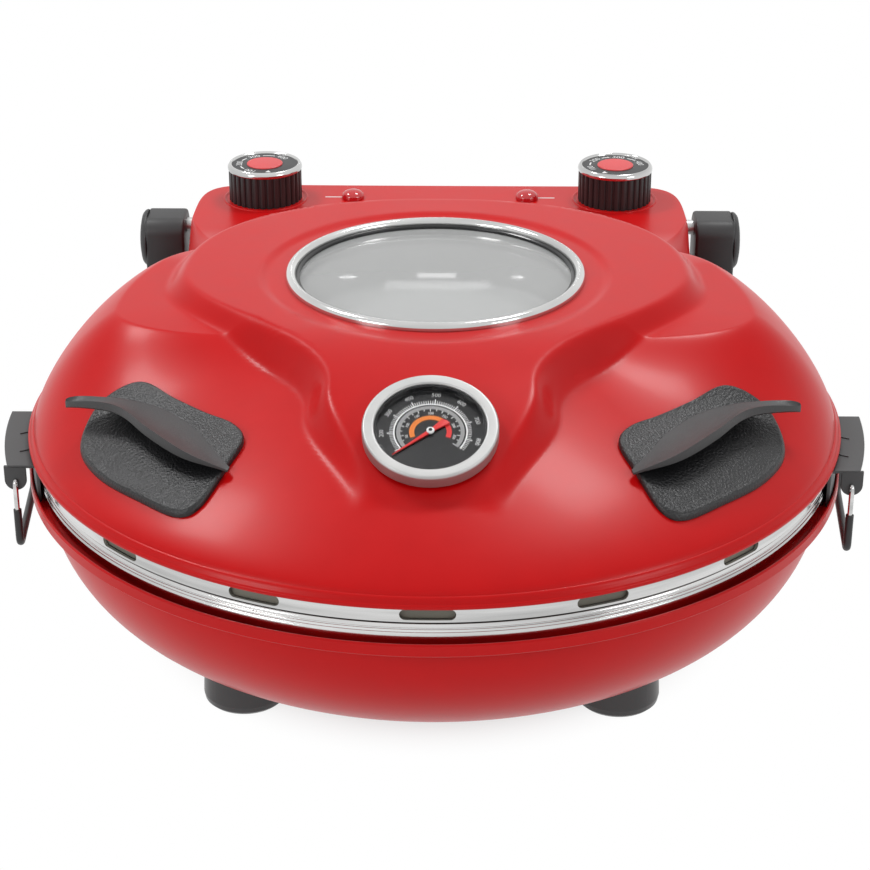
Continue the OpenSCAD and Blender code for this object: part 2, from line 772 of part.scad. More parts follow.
module thermometer_dial() {
    color("black") at_gauge() translate([0, 0, dial_z - 1.2 + seat]) difference() {
        cylinder(r = gauge_dial_r - 0.1, h = 1.2);
        translate([0, 0, -1]) cylinder(r = staff_r + fit, h = 4, $fn = 32);
    }
}

module thermometer_lens() {
    color("white", 0.3) at_gauge() translate([0, 0, -1.9]) cylinder(r = gauge_dial_r - 0.1, h = 1.1);
}

pointer_angle = 220;

module thermometer_pointer() {
    color("orangered") at_gauge() {
        translate([0, 0, dial_z - 3]) cylinder(r = staff_r, h = 4.2, $fn = 32);
        translate([0, 0, dial_z + 0.6]) {
            cylinder(r = 2.6, h = 1.2);
            rotate([0, 0, pointer_angle]) linear_extrude(0.7) polygon([
                [-9, -1.6], [-9, 1.6], [0, 1.1], [gauge_dial_r * 0.8, 0.2], [gauge_dial_r * 0.8, -0.2], [0, -1.1]
            ]);
        }
    }
}

// ---------------------------------------------------------------- handles

// A handle's own frame lies on the lid: p runs round the rim, q outwards
handle_reach = lid_r - 38.36;
handle_bearing = 218.305;
handle_pos = handle_reach * [cos(handle_bearing), sin(handle_bearing)];
handle_turn = 134;
plate_outline = [
    [-46, 12], [-40, 21], [-16, 23.3], [10, 23], [33, 17], [44, 6], [47, -7],
    [38, -21], [17, -23.5], [-4, -25.5], [-20, -27], [-32, -23], [-39, -8]
];
// p, q and the share of the grip's rise, from the plate up to its free edge
plate_gap = 0.4;
grip_sag = 1.6;
grip_back = [
    [-42, -7, 0], [-26, -10.5, 0], [-8, -15, 0], [13, -15.5, 0.01],
    [29, -12, 0.06], [43, -3, 0.53], [53, 8, 1.1]
];
grip_front = [
    [-43, -5, 0.03], [-37, 2, 0.38], [-29, 8, 0.68], [-19, 10.4, 0.88],
    [-2, 10, 1], [22, 7, 1], [49, 13, 1.06]
];
grip_steps = 20;

function on_handle(pq) =
    let (c = cos(handle_turn), s = sin(handle_turn))
    [handle_pos[0] + pq[0] * c - pq[1] * s, handle_pos[1] + pq[0] * s + pq[1] * c];
function over_lid(pq, h) = let (p = on_handle(pq)) [p[0], p[1], lid_over(p[0], p[1]) + h];

// Smooth curve through points, at parameter t from 0 to the number of spans
function spline(p0, p1, p2, p3, t) =
    0.5 * (2 * p1 + (p2 - p0) * t + (2 * p0 - 5 * p1 + 4 * p2 - p3) * t * t
        + (3 * p1 - p0 - 3 * p2 + p3) * t * t * t);
function on_loop(pts, t) =
    let (n = len(pts), i = floor(t))
    spline(pts[(i + n - 1) % n], pts[i % n], pts[(i + 1) % n], pts[(i + 2) % n], t - i);
function on_curve(pts, t) =
    let (n = len(pts), i = min(floor(t), n - 2))
    spline(pts[max(i - 1, 0)], pts[i], pts[i + 1], pts[min(i + 2, n - 1)], t - i);

module plate_skin() {
    spans = len(plate_outline);
    steps = spans * 3;
    rim = [for (i = [0 : steps - 1]) on_loop(plate_outline, i / 3)];
    function ring(k, h) = [for (p = rim) over_lid(p * k, h)];
    ring_skin([
        ring(0.03, plate_gap), ring(0.5, plate_gap), ring(1, plate_gap), ring(1, plate_gap + plate_t * 0.6),
        ring(0.97, plate_gap + plate_t), ring(0.55, plate_gap + plate_t), ring(0.03, plate_gap + plate_t)
    ]);
    translate(over_lid([0, 0], plate_gap + 1)) cylinder(r = 1.5, h = plate_t - 1.6);
}

module grip_skin() {
    n = len(grip_back) - 1;
    across = 5;
    low = plate_gap + grip_t + seat;
    function edge_point(p) = over_lid([p[0], p[1]], blend(low, grip_rise, max(0, p[2])));
    function section(t) =
        let (back = on_curve(grip_back, t), front = on_curve(grip_front, t),
             a = edge_point(back), b = edge_point(front), sag = grip_sag * ease(front[2]),
             top = [for (k = [0 : across]) let (u = k / across) blend(a, b, u) - [0, 0, 4 * sag * u * (1 - u)]])
        concat(top, [for (k = [across : -1 : 0]) top[k] - [0, 0, grip_t]]);
    sections = [for (i = [0 : grip_steps]) section(i * n / grip_steps)];
    m = len(sections[0]);
    points = [for (sec = sections) each sec];
    last = grip_steps * m;
    faces = concat(
        [for (i = [0 : grip_steps - 1], j = [0 : m - 1])
            let (j2 = (j + 1) % m, a = i * m + j, b = i * m + j2, c = b + m, d = a + m)
            each [[a, b, c], [a, c, d]]],
        [for (k = [0 : across - 1]) let (a = k, b = k + 1, c = m - 2 - k, d = m - 1 - k) each [[a, c, b], [a, d, c]]],
        [for (k = [0 : across - 1]) let (a = last + k, b = last + k + 1, c = last + m - 2 - k, d = last + m - 1 - k)
            each [[a, b, c], [a, c, d]]]
    );
    polyhedron(points = points, faces = faces, convexity = 6);
}

handle_screw_pq = [[-24, 4], [24, 2]];
handle_screw_h = 6.8;

module at_handle_screws() {
    for (pq = handle_screw_pq) let (p = over_lid(pq, 0)) translate(p) children();
}

module handle() {
    color("dimgray") difference() {
        union() {
            plate_skin();
            grip_skin();
        }
        at_handle_screws() translate([0, 0, -10]) cylinder(r = screw_r + seat, h = 10 + plate_gap + plate_t - 1.2, $fn = 32);
    }
}

module handle_screws() {
    color("silver") for (s = [-1, 1]) mirror([s > 0 ? 1 : 0, 0, 0]) at_handle_screws() {
        translate([0, 0, -handle_screw_h]) cylinder(r = screw_r, h = handle_screw_h + plate_gap + plate_t - 1.4, $fn = 32);
        translate([0, 0, -handle_screw_h]) cylinder(r = screw_head_r - 1, h = screw_head_h - 0.8);
    }
}

// ---------------------------------------------------------------- controls

lens_h = 4.5;

module lamp() {
    color("red", 0.8) translate([lamp_x, knob_y, panel_z]) {
        intersection() {
            translate([0, 0, lens_h - 6.5]) sphere(r = 6.5);
            translate([0, 0, seat]) cylinder(r = lamp_r, h = lens_h);
        }
        translate([0, 0, -7]) cylinder(r = lamp_neck_r, h = 8);
    }
}

module lamp_holders() {
    color("black") for (s = [-1, 1]) translate([s * lamp_x, knob_y, panel_z - 14])
        difference() {
            cylinder(r = lamp_neck_r + 2, h = 14 - lid_wall - seat);
            translate([0, 0, 7 - seat]) cylinder(r = lamp_neck_r + seat, h = 10);
        }
}

module wing_cover() {
    // Closes the wing from below, inside its wall and behind the vent ring
    inset = lid_wall + lip_inside[1][0] + 0.2;
    edge = [for (i = [0 : lid_steps / 2]) let (a = i * 360 / lid_steps, p = lid_point(a, rim_reach(a) - inset, 0)) [p[0], p[1]]];
    color("black") translate([0, 0, rim_z + 0.3]) linear_extrude(2) difference() {
        intersection() {
            polygon(edge);
            translate([-wing_half, cover_front]) square([2 * wing_half, wing_rear]);
        }
        circle(r = vent_r + 0.4);
    }
}

body_drop = 26;

module thermostat() {
    color("silver") translate([knob_x, knob_y, panel_z - body_drop]) difference() {
        union() {
            cylinder(r = 13.5, h = body_drop - 11);
            cylinder(r = bushing_r, h = body_drop + 0.2 - 1);
            translate([0, 0, body_drop - 12]) cylinder(r = 9, h = 12 - lid_wall - seat, $fn = 6);
        }
        translate([0, 0, 5]) cylinder(r = shaft_r + fit, h = 40);
    }
}

module knob_outline() {
    // One trapezoid rib and groove for each step round the knob
    step = 360 / knob_ribs;
    polygon([for (i = [0 : knob_ribs - 1], c = [[-0.32, 0], [-0.18, 0.9], [0.18, 0.9], [0.32, 0]])
        let (a = (i + c[0]) * step, r = knob_r - 0.9 + c[1]) [r * cos(a), r * sin(a)]]);
}

ring_h = 3.4;
ring_w = 3.6;

module at_knob() {
    translate([knob_x, knob_y, panel_z]) children();
}

module knob_body() {
    color("black") at_knob() difference() {
        union() {
            translate([0, 0, -0.4]) linear_extrude(knob_h - ring_h + 0.4) knob_outline();
            cylinder(r = knob_r - ring_w, h = knob_h - 1.6);
            translate([0, 0, -body_drop + 8]) cylinder(r = shaft_r, h = body_drop);
        }
        translate([0, 0, -2]) tube(knob_r - 3, shaft_r + 3, 12);
    }
}

module knob_ring() {
    color("gainsboro") at_knob() translate([0, 0, knob_h - ring_h + seat]) rotate_extrude() polygon([
        [knob_r - ring_w + seat, 0], [knob_r + 0.1, 0], [knob_r + 0.3, 1.2], [knob_r, 2.2],
        [knob_r - 1.2, ring_h - 0.2], [knob_r - 2.4, ring_h], [knob_r - ring_w + seat, ring_h - 0.8]
    ]);
}

module knob_dial() {
    color("black") at_knob() translate([0, 0, knob_h - 1.6 + seat]) {
        cylinder(r = knob_r - ring_w - seat, h = 0.9);
        cylinder(r = (knob_r - ring_w) * 0.62, h = 1.2);
    }
}

module lid_hinge_arm() {
    top_z = panel_z - lid_wall - 0.2;
    color("silver") difference() {
        union() {
            along_x(arm_x, hinge_y, hinge_z) cylinder(r = pin_r + 5, h = arm_t);
            translate([arm_x, hinge_y - 9, hinge_z]) cube([arm_t, 18, top_z - hinge_z]);
            translate([arm_x - arm_foot, hinge_y - 24, top_z - 2]) cube([arm_t + arm_foot, 33, 2]);
        }
        along_x(arm_x - 1, hinge_y, hinge_z) cylinder(r = pin_r + fit, h = arm_t + 2);
    }
}

// From the base's axis back to the middle between its lip in front and the wing
outline_mid_y = (rim_y(90) - lip_r) / 2;

translate([0, -outline_mid_y, 0]) {
    base_bowl();
    inner_pan();
    base_trim_ring();
    foot_at(180 + foot_turn);  // foot_front_left
    foot_at(-foot_turn);  // foot_front_right
    foot_at(180 - foot_turn);  // foot_rear_left
    foot_at(foot_turn);  // foot_rear_right
    foot_screws();
    lower_element();
    lower_element_clips();
    terminal_block();
    thermal_cutout();
    cord_gland();
    side_bracket();  // side_bracket_left
    mirror([1, 0, 0]) side_bracket();  // side_bracket_right
    mirror([1, 0, 0]) hinge_tower();  // hinge_tower_left
    hinge_tower();  // hinge_tower_right
    mirror([1, 0, 0]) hinge_pin();  // hinge_pin_left
    hinge_pin();  // hinge_pin_right
    tower_screws();
    baking_stone();
    bail_wire();  // bail_wire_left
    bail_sleeve();  // bail_sleeve_left
    mirror([1, 0, 0]) bail_wire();  // bail_wire_right
    mirror([1, 0, 0]) bail_sleeve();  // bail_sleeve_right
    lid_shell();
    lid_vent_ring();
    lid_reflector();
    window_bezel();
    window_glass();
    window_sleeve();
    inner_glass();
    upper_element();
    upper_element_clips();
    thermometer_case();
    thermometer_dial();
    thermometer_lens();
    thermometer_pointer();
    handle();  // handle_left
    mirror([1, 0, 0]) handle();  // handle_right
    handle_screws();
    mirror([1, 0, 0]) lamp();  // lamp_left
    lamp();  // lamp_right
    lamp_holders();
    wing_cover();
    mirror([1, 0, 0]) thermostat();  // thermostat_left
    thermostat();  // thermostat_right
    mirror([1, 0, 0]) lid_hinge_arm();  // lid_hinge_arm_left
    lid_hinge_arm();  // lid_hinge_arm_right
    mirror([1, 0, 0]) knob_body();  // knob_body_left
    mirror([1, 0, 0]) knob_ring();  // knob_ring_left
    mirror([1, 0, 0]) knob_dial();  // knob_dial_left
    knob_body();  // knob_body_right
    knob_ring();  // knob_ring_right
    knob_dial();  // knob_dial_right
}
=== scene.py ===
import math
import bmesh
import bpy
import numpy as np
from mathutils import Matrix, Vector


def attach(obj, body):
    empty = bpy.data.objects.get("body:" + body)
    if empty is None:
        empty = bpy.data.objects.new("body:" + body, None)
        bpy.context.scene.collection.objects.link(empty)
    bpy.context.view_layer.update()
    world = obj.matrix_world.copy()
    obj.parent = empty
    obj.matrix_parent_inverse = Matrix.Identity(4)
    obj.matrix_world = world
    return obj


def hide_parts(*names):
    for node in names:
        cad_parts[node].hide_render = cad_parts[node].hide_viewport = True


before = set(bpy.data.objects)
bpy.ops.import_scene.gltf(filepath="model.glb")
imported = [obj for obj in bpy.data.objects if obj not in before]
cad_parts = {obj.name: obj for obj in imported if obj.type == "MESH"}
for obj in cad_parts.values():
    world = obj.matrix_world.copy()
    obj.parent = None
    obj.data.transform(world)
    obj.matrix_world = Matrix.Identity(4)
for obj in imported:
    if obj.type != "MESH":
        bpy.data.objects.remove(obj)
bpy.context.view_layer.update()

# Lengths are written in millimetres about the axis of the round base, and scaled
# once by MM. That axis lies at AXIS_Y in the shared frame.
MM = 0.001
AXIS_Y = -12.857

# ------------------------------------------------------------------- camera

camera_data = bpy.data.cameras.new("camera")
camera_data.sensor_width = 36
camera_data.lens = 95.4
camera = bpy.data.objects.new("camera", camera_data)
bpy.context.scene.collection.objects.link(camera)
camera.location = (0.0149, -0.9918 + AXIS_Y * MM, 0.5544)
aim = Vector((0.0002, AXIS_Y * MM, 0.08506))
camera.rotation_euler = (aim - camera.location).to_track_quat("-Z", "Y").to_euler()
bpy.context.scene.camera = camera
bpy.context.scene.view_settings.view_transform = "Standard"

# ---------------------------------------------------------------- materials

# The broad noise behind tone and roughness, as a share of the fine grain's scale
BROAD = 0.03


def material(name, colour, rough=0.4, metallic=0.0, vary=0.06, tone=0.06, grain=900.0, bump=0.02,
             depth=0.0002, stretch=(1, 1, 1), **sockets):
    """Principled material whose tone, roughness and bump come from noise in object space."""
    m = bpy.data.materials.new("look_" + name)
    m.use_nodes = True
    nt = m.node_tree
    shader = nt.nodes["Principled BSDF"]
    shader.inputs["Metallic"].default_value = metallic
    for key, value in sockets.items():
        shader.inputs[key.replace("_", " ").title().replace("Ior", "IOR")].default_value = value
    coord = nt.nodes.new("ShaderNodeTexCoord")
    scale = nt.nodes.new("ShaderNodeMapping")
    scale.inputs["Scale"].default_value = stretch
    nt.links.new(coord.outputs["Object"], scale.inputs["Vector"])

    def noise(size, detail):
        n = nt.nodes.new("ShaderNodeTexNoise")
        n.inputs["Scale"].default_value = size
        n.inputs["Detail"].default_value = detail
        nt.links.new(scale.outputs["Vector"], n.inputs["Vector"])
        return n.outputs["Fac"]

    broad = noise(grain * BROAD, 3)
    fine = noise(grain, 4)
    ramp = nt.nodes.new("ShaderNodeValToRGB")
    for k, f in ((0, 1 - tone), (1, 1 + tone)):
        ramp.color_ramp.elements[k].position = 0.3 + 0.4 * k
        ramp.color_ramp.elements[k].color = (*[min(1, c * f) for c in colour], 1)
    nt.links.new(broad, ramp.inputs["Fac"])
    nt.links.new(ramp.outputs["Color"], shader.inputs["Base Color"])
    spread = nt.nodes.new("ShaderNodeMapRange")
    spread.inputs["To Min"].default_value = max(0.02, rough - vary)
    spread.inputs["To Max"].default_value = rough + vary
    nt.links.new(broad, spread.inputs["Value"])
    nt.links.new(spread.outputs["Result"], shader.inputs["Roughness"])
    b = nt.nodes.new("ShaderNodeBump")
    b.inputs["Strength"].default_value = bump
    b.inputs["Distance"].default_value = depth
    nt.links.new(fine, b.inputs["Height"])
    nt.links.new(b.outputs["Normal"], shader.inputs["Normal"])
    return m


RED = material("red_enamel", (0.60, 0.003, 0.004), 0.34, vary=0.03, tone=0.02, grain=2600, bump=0.05,
               specular_ior_level=0.16, coat_weight=0.08, coat_roughness=0.16)
CHROME = material("polished_steel", (0.58, 0.58, 0.575), 0.13, 1.0, vary=0.03, tone=0.22, grain=1500,
                  bump=0.015, stretch=(0.25, 0.25, 4))
SATIN = material("satin_steel", (0.58, 0.58, 0.575), 0.38, 1.0, vary=0.05, grain=2500, bump=0.08)
RING = material("satin_ring", (0.44, 0.44, 0.435), 0.46, 0.85, vary=0.04, tone=0.05, grain=2500, bump=0.06)
BLACK = material("black_plastic", (0.017, 0.017, 0.018), 0.42, vary=0.05, tone=0.12, grain=2200, bump=0.12)
BLOCK = material("dark_moulding", (0.026, 0.026, 0.027), 0.48, vary=0.05, tone=0.08, grain=2600, bump=0.12)
GREY = material("grey_moulding", (0.048, 0.048, 0.049), 0.42, vary=0.05, tone=0.08, grain=1100, bump=0.4,
                depth=0.0003, specular_ior_level=0.4)
LEATHER = material("grained_plastic", (0.012, 0.012, 0.013), 0.30, vary=0.05, tone=0.2, grain=900, bump=0.9,
                   depth=0.0005, specular_ior_level=0.4)
GLOSS = material("black_gloss", (0.014, 0.014, 0.015), 0.2, vary=0.03, tone=0.1, grain=900, bump=0.01)
DARK = material("dark_steel", (0.075, 0.075, 0.077), 0.45, 0.6, vary=0.08, tone=0.12, grain=1800, bump=0.08)
PLATE = material("grey_sheet", (0.060, 0.060, 0.061), 0.5, 0.2, vary=0.05, tone=0.06, grain=2000, bump=0.06)
ALUM = material("aluminium_sheet", (0.60, 0.60, 0.57), 0.36, 1.0, vary=0.08, grain=1200, bump=0.1)
STONE = material("stone", (0.62, 0.54, 0.42), 0.85, vary=0.05, tone=0.14, grain=1400, bump=0.5, depth=0.0005)
CERAMIC = material("ceramic", (0.72, 0.68, 0.60), 0.5, vary=0.08, grain=800, bump=0.1)
RUBBER = material("rubber", (0.044, 0.044, 0.045), 0.34, vary=0.06, tone=0.12, grain=1600, bump=0.08)
PANE = material("pale_glass", (0.80, 0.81, 0.805), 0.04, vary=0.02, tone=0.02, grain=500, bump=0.002,
                transmission_weight=0.0, ior=1.5, alpha=0.35)
HAZE = material("inner_glass_haze", (0.62, 0.63, 0.625), 0.7, vary=0.03, tone=0.03, grain=500, bump=0.002,
                specular_ior_level=0.03, alpha=0.85)
SLEEVE = material("sleeve_sheet", (0.25, 0.25, 0.245), 0.7, vary=0.06, tone=0.12, grain=260, bump=0.04,
                  stretch=(3, 3, 0.15), specular_ior_level=0.03)
COVER = material("dial_glass", (0.98, 0.985, 0.985), 0.03, vary=0.01, tone=0.0, grain=300, bump=0.002,
                 transmission_weight=1.0, ior=1.1, alpha=0.12)
# Sheet behind the vent slots: partly the tone of the inner surfaces, partly painted shade of the dim inside
# seen through them
SLOT_SHADE = material("slot_shade_sheet", (0.19, 0.185, 0.15), 0.6, vary=0.06, tone=0.15, grain=900, bump=0.1)
LENS = material("red_lens", (0.56, 0.010, 0.016), 0.07, vary=0.02, tone=0.05, grain=600, bump=0.01,
                specular_ior_level=0.8)
POINTER = material("pointer_red", (0.72, 0.02, 0.02), 0.35, vary=0.04, grain=1200, bump=0.02)
CENTRE = material("red_centre", (0.70, 0.055, 0.06), 0.4, vary=0.04, grain=1200, bump=0.03)
WHITE = material("white_print", (0.86, 0.86, 0.86), 0.5, vary=0.04, tone=0.03, grain=1200, bump=0.02)
SILVERY = material("grey_print", (0.30, 0.30, 0.30), 0.5, vary=0.04, tone=0.03, grain=1200, bump=0.02)
ORANGE = material("orange_print", (0.80, 0.21, 0.02), 0.5, vary=0.04, tone=0.03, grain=1200, bump=0.02)

# ------------------------------------------------------------------ helpers


def shift(x, y, z):
    return Matrix.Translation((x, y, z))


def piece(name, verts, faces, mat, body, nodes=(), place=None, angle=32, bevel=0.0, closed=True):
    """A mesh object from points in millimetres, riding on a body."""
    bm = bmesh.new()
    place = shift(0, AXIS_Y, 0) @ (place or Matrix())
    made = [bm.verts.new((place @ Vector(v)) * MM) for v in verts]
    for f in faces:
        try:
            bm.faces.new([made[i] for i in f])
        except ValueError:
            pass
    bmesh.ops.remove_doubles(bm, verts=bm.verts, dist=2e-7)
    bmesh.ops.dissolve_degenerate(bm, edges=bm.edges, dist=1e-8)
    if closed:
        bmesh.ops.recalc_face_normals(bm, faces=bm.faces)
    if bevel:
        sharp = [e for e in bm.edges if len(e.link_faces) == 2 and e.calc_face_angle(0) > math.radians(angle)]
        bmesh.ops.bevel(bm, geom=sharp, offset=bevel * MM, segments=3, profile=0.5, affect="EDGES",
                        clamp_overlap=True)
    mesh = bpy.data.meshes.new(name)
    bm.to_mesh(mesh)
    bm.free()
    mesh.polygons.foreach_set("use_smooth", [True] * len(mesh.polygons))
    mesh.set_sharp_from_angle(angle=math.radians(angle))
    mesh.materials.append(mat)
    obj = bpy.data.objects.new(name, mesh)
    bpy.context.scene.collection.objects.link(obj)
    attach(obj, body)
    if nodes:
        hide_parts(*nodes)
    return obj


def fillet(points, radius, steps=4):
    """Round each corner of a closed outline."""
    out = []
    n = len(points)
    for i, p in enumerate(points):
        a, p, b = Vector(points[i - 1]), Vector(p), Vector(points[(i + 1) % n])
        cut = min(radius, (a - p).length * 0.45, (b - p).length * 0.45)
        if p.x < 1e-6 or cut < 1e-4:
            out.append(tuple(p))
            continue
        s, e = p + (a - p).normalized() * cut, p + (b - p).normalized() * cut
        for k in range(steps + 1):
            t = k / steps
            out.append(tuple(s * (1 - t) ** 2 + p * 2 * t * (1 - t) + e * t * t))
    return out


def round_outline(points, radius, steps=5):
    """Round the corners of a closed outline that may cross x = 0."""
    moved = [(x + 1000, y) for x, y in points]
    return [(x - 1000, y) for x, y in fillet(moved, radius, steps)]


def lathe(name, profile, mat, body, nodes=(), place=None, n=192, radius=0.4):
    """A closed profile of radius and height, turned about Z."""
    ring = fillet(profile, radius) if radius else profile
    m = len(ring)
    verts = [(r * math.cos(2 * math.pi * j / n), r * math.sin(2 * math.pi * j / n), z)
             for j in range(n) for r, z in ring]
    faces = [(j * m + i, ((j + 1) % n) * m + i, ((j + 1) % n) * m + (i + 1) % m, j * m + (i + 1) % m)
             for j in range(n) for i in range(m)]
    return piece(name, verts, faces, mat, body, nodes, place)


def prism(name, outline, low, high, mat, body, nodes=(), place=None, bevel=0.4, angle=32):
    """An outline in the XY plane, raised from low to high, with its edges rounded."""
    n = len(outline)
    verts = [(x, y, z) for z in (low, high) for x, y in outline]
    faces = [tuple(range(n - 1, -1, -1)), tuple(range(n, 2 * n))]
    faces += [(i, (i + 1) % n, n + (i + 1) % n, n + i) for i in range(n)]
    return piece(name, verts, faces, mat, body, nodes, place, angle, bevel)


def closed_faces(rings, n):
    """Quads between closed loops of n points, where the last loop meets the first."""
    return [(i * n + j, i * n + (j + 1) % n, ((i + 1) % rings) * n + (j + 1) % n, ((i + 1) % rings) * n + j)
            for i in range(rings) for j in range(n)]


def tube(name, path, radius, mat, body, nodes=(), place=None, sides=14):
    """A round rod along a path of points."""
    pts = [Vector(p) for p in path]
    verts, up = [], None
    for i, p in enumerate(pts):
        run = (pts[min(i + 1, len(pts) - 1)] - pts[max(i - 1, 0)]).normalized()
        up = up or run.orthogonal().normalized()
        up = (up - run * up.dot(run)).normalized()
        side = run.cross(up)
        verts += [p + (up * math.cos(t) + side * math.sin(t)) * radius
                  for t in (2 * math.pi * k / sides for k in range(sides))]
    last = (len(pts) - 1) * sides
    faces = [(i * sides + k, i * sides + (k + 1) % sides,
              (i + 1) * sides + (k + 1) % sides, (i + 1) * sides + k)
             for i in range(len(pts) - 1) for k in range(sides)]
    faces += [tuple(range(sides - 1, -1, -1)), tuple(range(last, last + sides))]
    return piece(name, verts, faces, mat, body, nodes, place)


def bend(path, radius, steps=7):
    """Round the inner corners of an open path."""
    pts = [Vector(p) for p in path]
    out = [pts[0]]
    for a, p, b in zip(pts, pts[1:], pts[2:]):
        cut = min(radius, (a - p).length * 0.48, (b - p).length * 0.48)
        s, e = p + (a - p).normalized() * cut, p + (b - p).normalized() * cut
        out += [s * (1 - t) ** 2 + p * 2 * t * (1 - t) + e * t * t
                for t in (k / steps for k in range(steps + 1))]
    return out + [pts[-1]]


class Print:
    """Flat marks on a dial, gathered into one mesh."""

    def __init__(self):
        self.verts, self.faces = [], []

    def add(self, points, faces=None):
        base = len(self.verts)
        self.verts += [(x, y, 0.0) for x, y in points]
        self.faces += [tuple(base + i for i in f) for f in (faces or [range(len(points))])]

    def arc(self, inner, outer, start, end, steps=48):
        a = [math.radians(90 - (start + (end - start) * k / steps)) for k in range(steps + 1)]
        pts = [(r * math.cos(t), r * math.sin(t)) for t in a for r in (inner, outer)]
        self.add(pts, [(2 * k, 2 * k + 1, 2 * k + 3, 2 * k + 2) for k in range(steps)])

    def tick(self, inner, outer, at, width):
        t = math.radians(90 - at)
        c, s = math.cos(t), math.sin(t)
        self.add([(r * c - w * s, r * s + w * c) for r, w in
                  ((inner, -width / 2), (outer, -width / 2), (outer, width / 2), (inner, width / 2))])

    def number(self, text, radius, at, size):
        """Digits centred at a radius, upright towards the rim."""
        curve = bpy.data.curves.new("digits", "FONT")
        curve.body, curve.size, curve.align_x, curve.align_y = text, size, "CENTER", "CENTER"
        curve.resolution_u = 3
        holder = bpy.data.objects.new("digits", curve)
        mesh = bpy.data.meshes.new_from_object(holder)
        t = math.radians(-at)
        c, s = math.cos(t), math.sin(t)
        pts = [(v.co.x * c - (v.co.y + radius) * s, v.co.x * s + (v.co.y + radius) * c)
               for v in mesh.vertices]
        self.add(pts, [tuple(p.vertices) for p in mesh.polygons])
        bpy.data.objects.remove(holder)
        bpy.data.curves.remove(curve)
        bpy.data.meshes.remove(mesh)

    def make(self, name, mat, body, place):
        return piece(name, self.verts, self.faces, mat, body, (), place, closed=False)


# -------------------------------------------------- sizes shared with the CAD

BOWL_R, FOOT_H, BOWL_TOP, LIP_Z = 184.0, 11.5, 77.5, 75.5
BOWL_ROUND, BOWL_WALL, LEDGE_R = 66, 1.5, 190.5
TRIM_TOP, TRIM_R = 88.5, 186.3
RIM, VENT_H = 97.2, 7.5
PANEL_H, CROWN_H = 39.5, 60
PANEL, CROWN = RIM + PANEL_H, RIM + CROWN_H
WIN_Y, WIN_R, LID_R = 28.5, 71.0, 190.0
LID_WALL, RIM_LIP_H = 2.0, 5.2
WING_Y, WING_HALF, WING_POWER, EDGE_POWER = 216, 134, 14, 24
NECK_Y, NECK_HALF, CROWN_HALF, CROWN_REAR, CROWN_POWER = 85, 44, 118, 103, 2.3
KNOB_X, KNOB_Y, KNOB_R, KNOB_H = 94.2, 190.5, 19.6, 20.3
HINGE_Y, HINGE_Z, TOWER_X, TOWER_W = 195.0, RIM + 22, 138.0, 21.0
GAUGE = shift(0, -117.3, RIM + 48) @ Matrix.Rotation(math.radians(24), 4, "X")
GAUGE_R, DIAL_Z = 28.9, -4.6
BRACKET_Y, LUG_X, BAIL_Z = (-57.5, 1.3), (-189.4, -193.4), RIM - 9
HANDLE_X, HANDLE_Y, HANDLE_TURN = -119, -94, math.radians(134)

# ---------------------------------------------------------------- lid's form


def ease(t):
    c = np.clip(t, 0, 1)
    return c * c * (3 - 2 * c)


def mix(a, b, t):
    return a + (b - a) * t


def lid_reach(a):
    """Distance from the window's axis to the lid's edge: the round rim and the squared wing."""
    c, s = np.cos(a), np.sin(a)
    rim = np.sqrt(LID_R ** 2 - (WIN_Y * c) ** 2) - WIN_Y * s
    rear = np.maximum(s, 1e-3)
    square = (rear / (WING_Y - WIN_Y)) ** WING_POWER + (np.abs(c) / WING_HALF) ** WING_POWER
    wing = np.where(s < 0.02, 0, square ** (-1 / WING_POWER))
    return (rim ** EDGE_POWER + wing ** EDGE_POWER) ** (1 / EDGE_POWER)


def lid_shape(a):
    """How far front a point of the edge is, and its shoulder's length, power and lip."""
    y = WIN_Y + lid_reach(a) * np.sin(a)
    front, wing = ease((-10 - y) / 130), ease((y - 115) / 50)
    return front, mix(mix(40, 138, front), 4, wing), mix(mix(1.3, 1.27, front), 2, wing), mix(3, 1.6, wing)


def lid_height(a, rho):
    """Height of the lid above its rim, in polar form about the window's axis."""
    x, y = rho * np.cos(a), WIN_Y + rho * np.sin(a)
    front, length, power, lip = lid_shape(a)
    u = np.clip((lid_reach(a) - rho - lip) / length, 0, 1)
    top = mix(mix(52, 50, front), PANEL_H, ease((y - 60) / 80))
    dome = RIM_LIP_H + (top - RIM_LIP_H) * (1 - (1 - u) ** power) ** (1 / power)
    # How far a point lies inside the crown's outline, ahead of the window's centre and behind it
    t = (y + NECK_Y) / (WIN_Y + NECK_Y)
    tc = np.clip(t, 0, 1)
    slope = 6 * tc * (1 - tc) * (CROWN_HALF - NECK_HALF) / (WIN_Y + NECK_Y)
    half = mix(NECK_HALF, CROWN_HALF, ease(t)) - 22 * ease((-88 - y) / 62)
    ahead = (half - np.abs(x)) / np.sqrt(1 + slope ** 2)
    oval = (np.abs(x) / CROWN_HALF) ** CROWN_POWER + (np.maximum(y - WIN_Y, 0) / CROWN_REAR) ** CROWN_POWER
    behind = CROWN_HALF * (1 - oval ** (1 / CROWN_POWER))
    inset = np.where(y < WIN_Y, ahead, behind)
    sheet = CROWN_H - 0.003 * np.maximum(0, -38 - y) ** 2
    lift = np.maximum(0, sheet - dome) * ease(1 + inset / 11)
    return dome + lift - 1.2 * ease((WIN_R + 13 - rho) / 5)


def over_lid(x, y):
    a, rho = math.atan2(y - WIN_Y, x), math.hypot(x, y - WIN_Y)
    return RIM + float(lid_height(np.array(a), np.array(rho)))


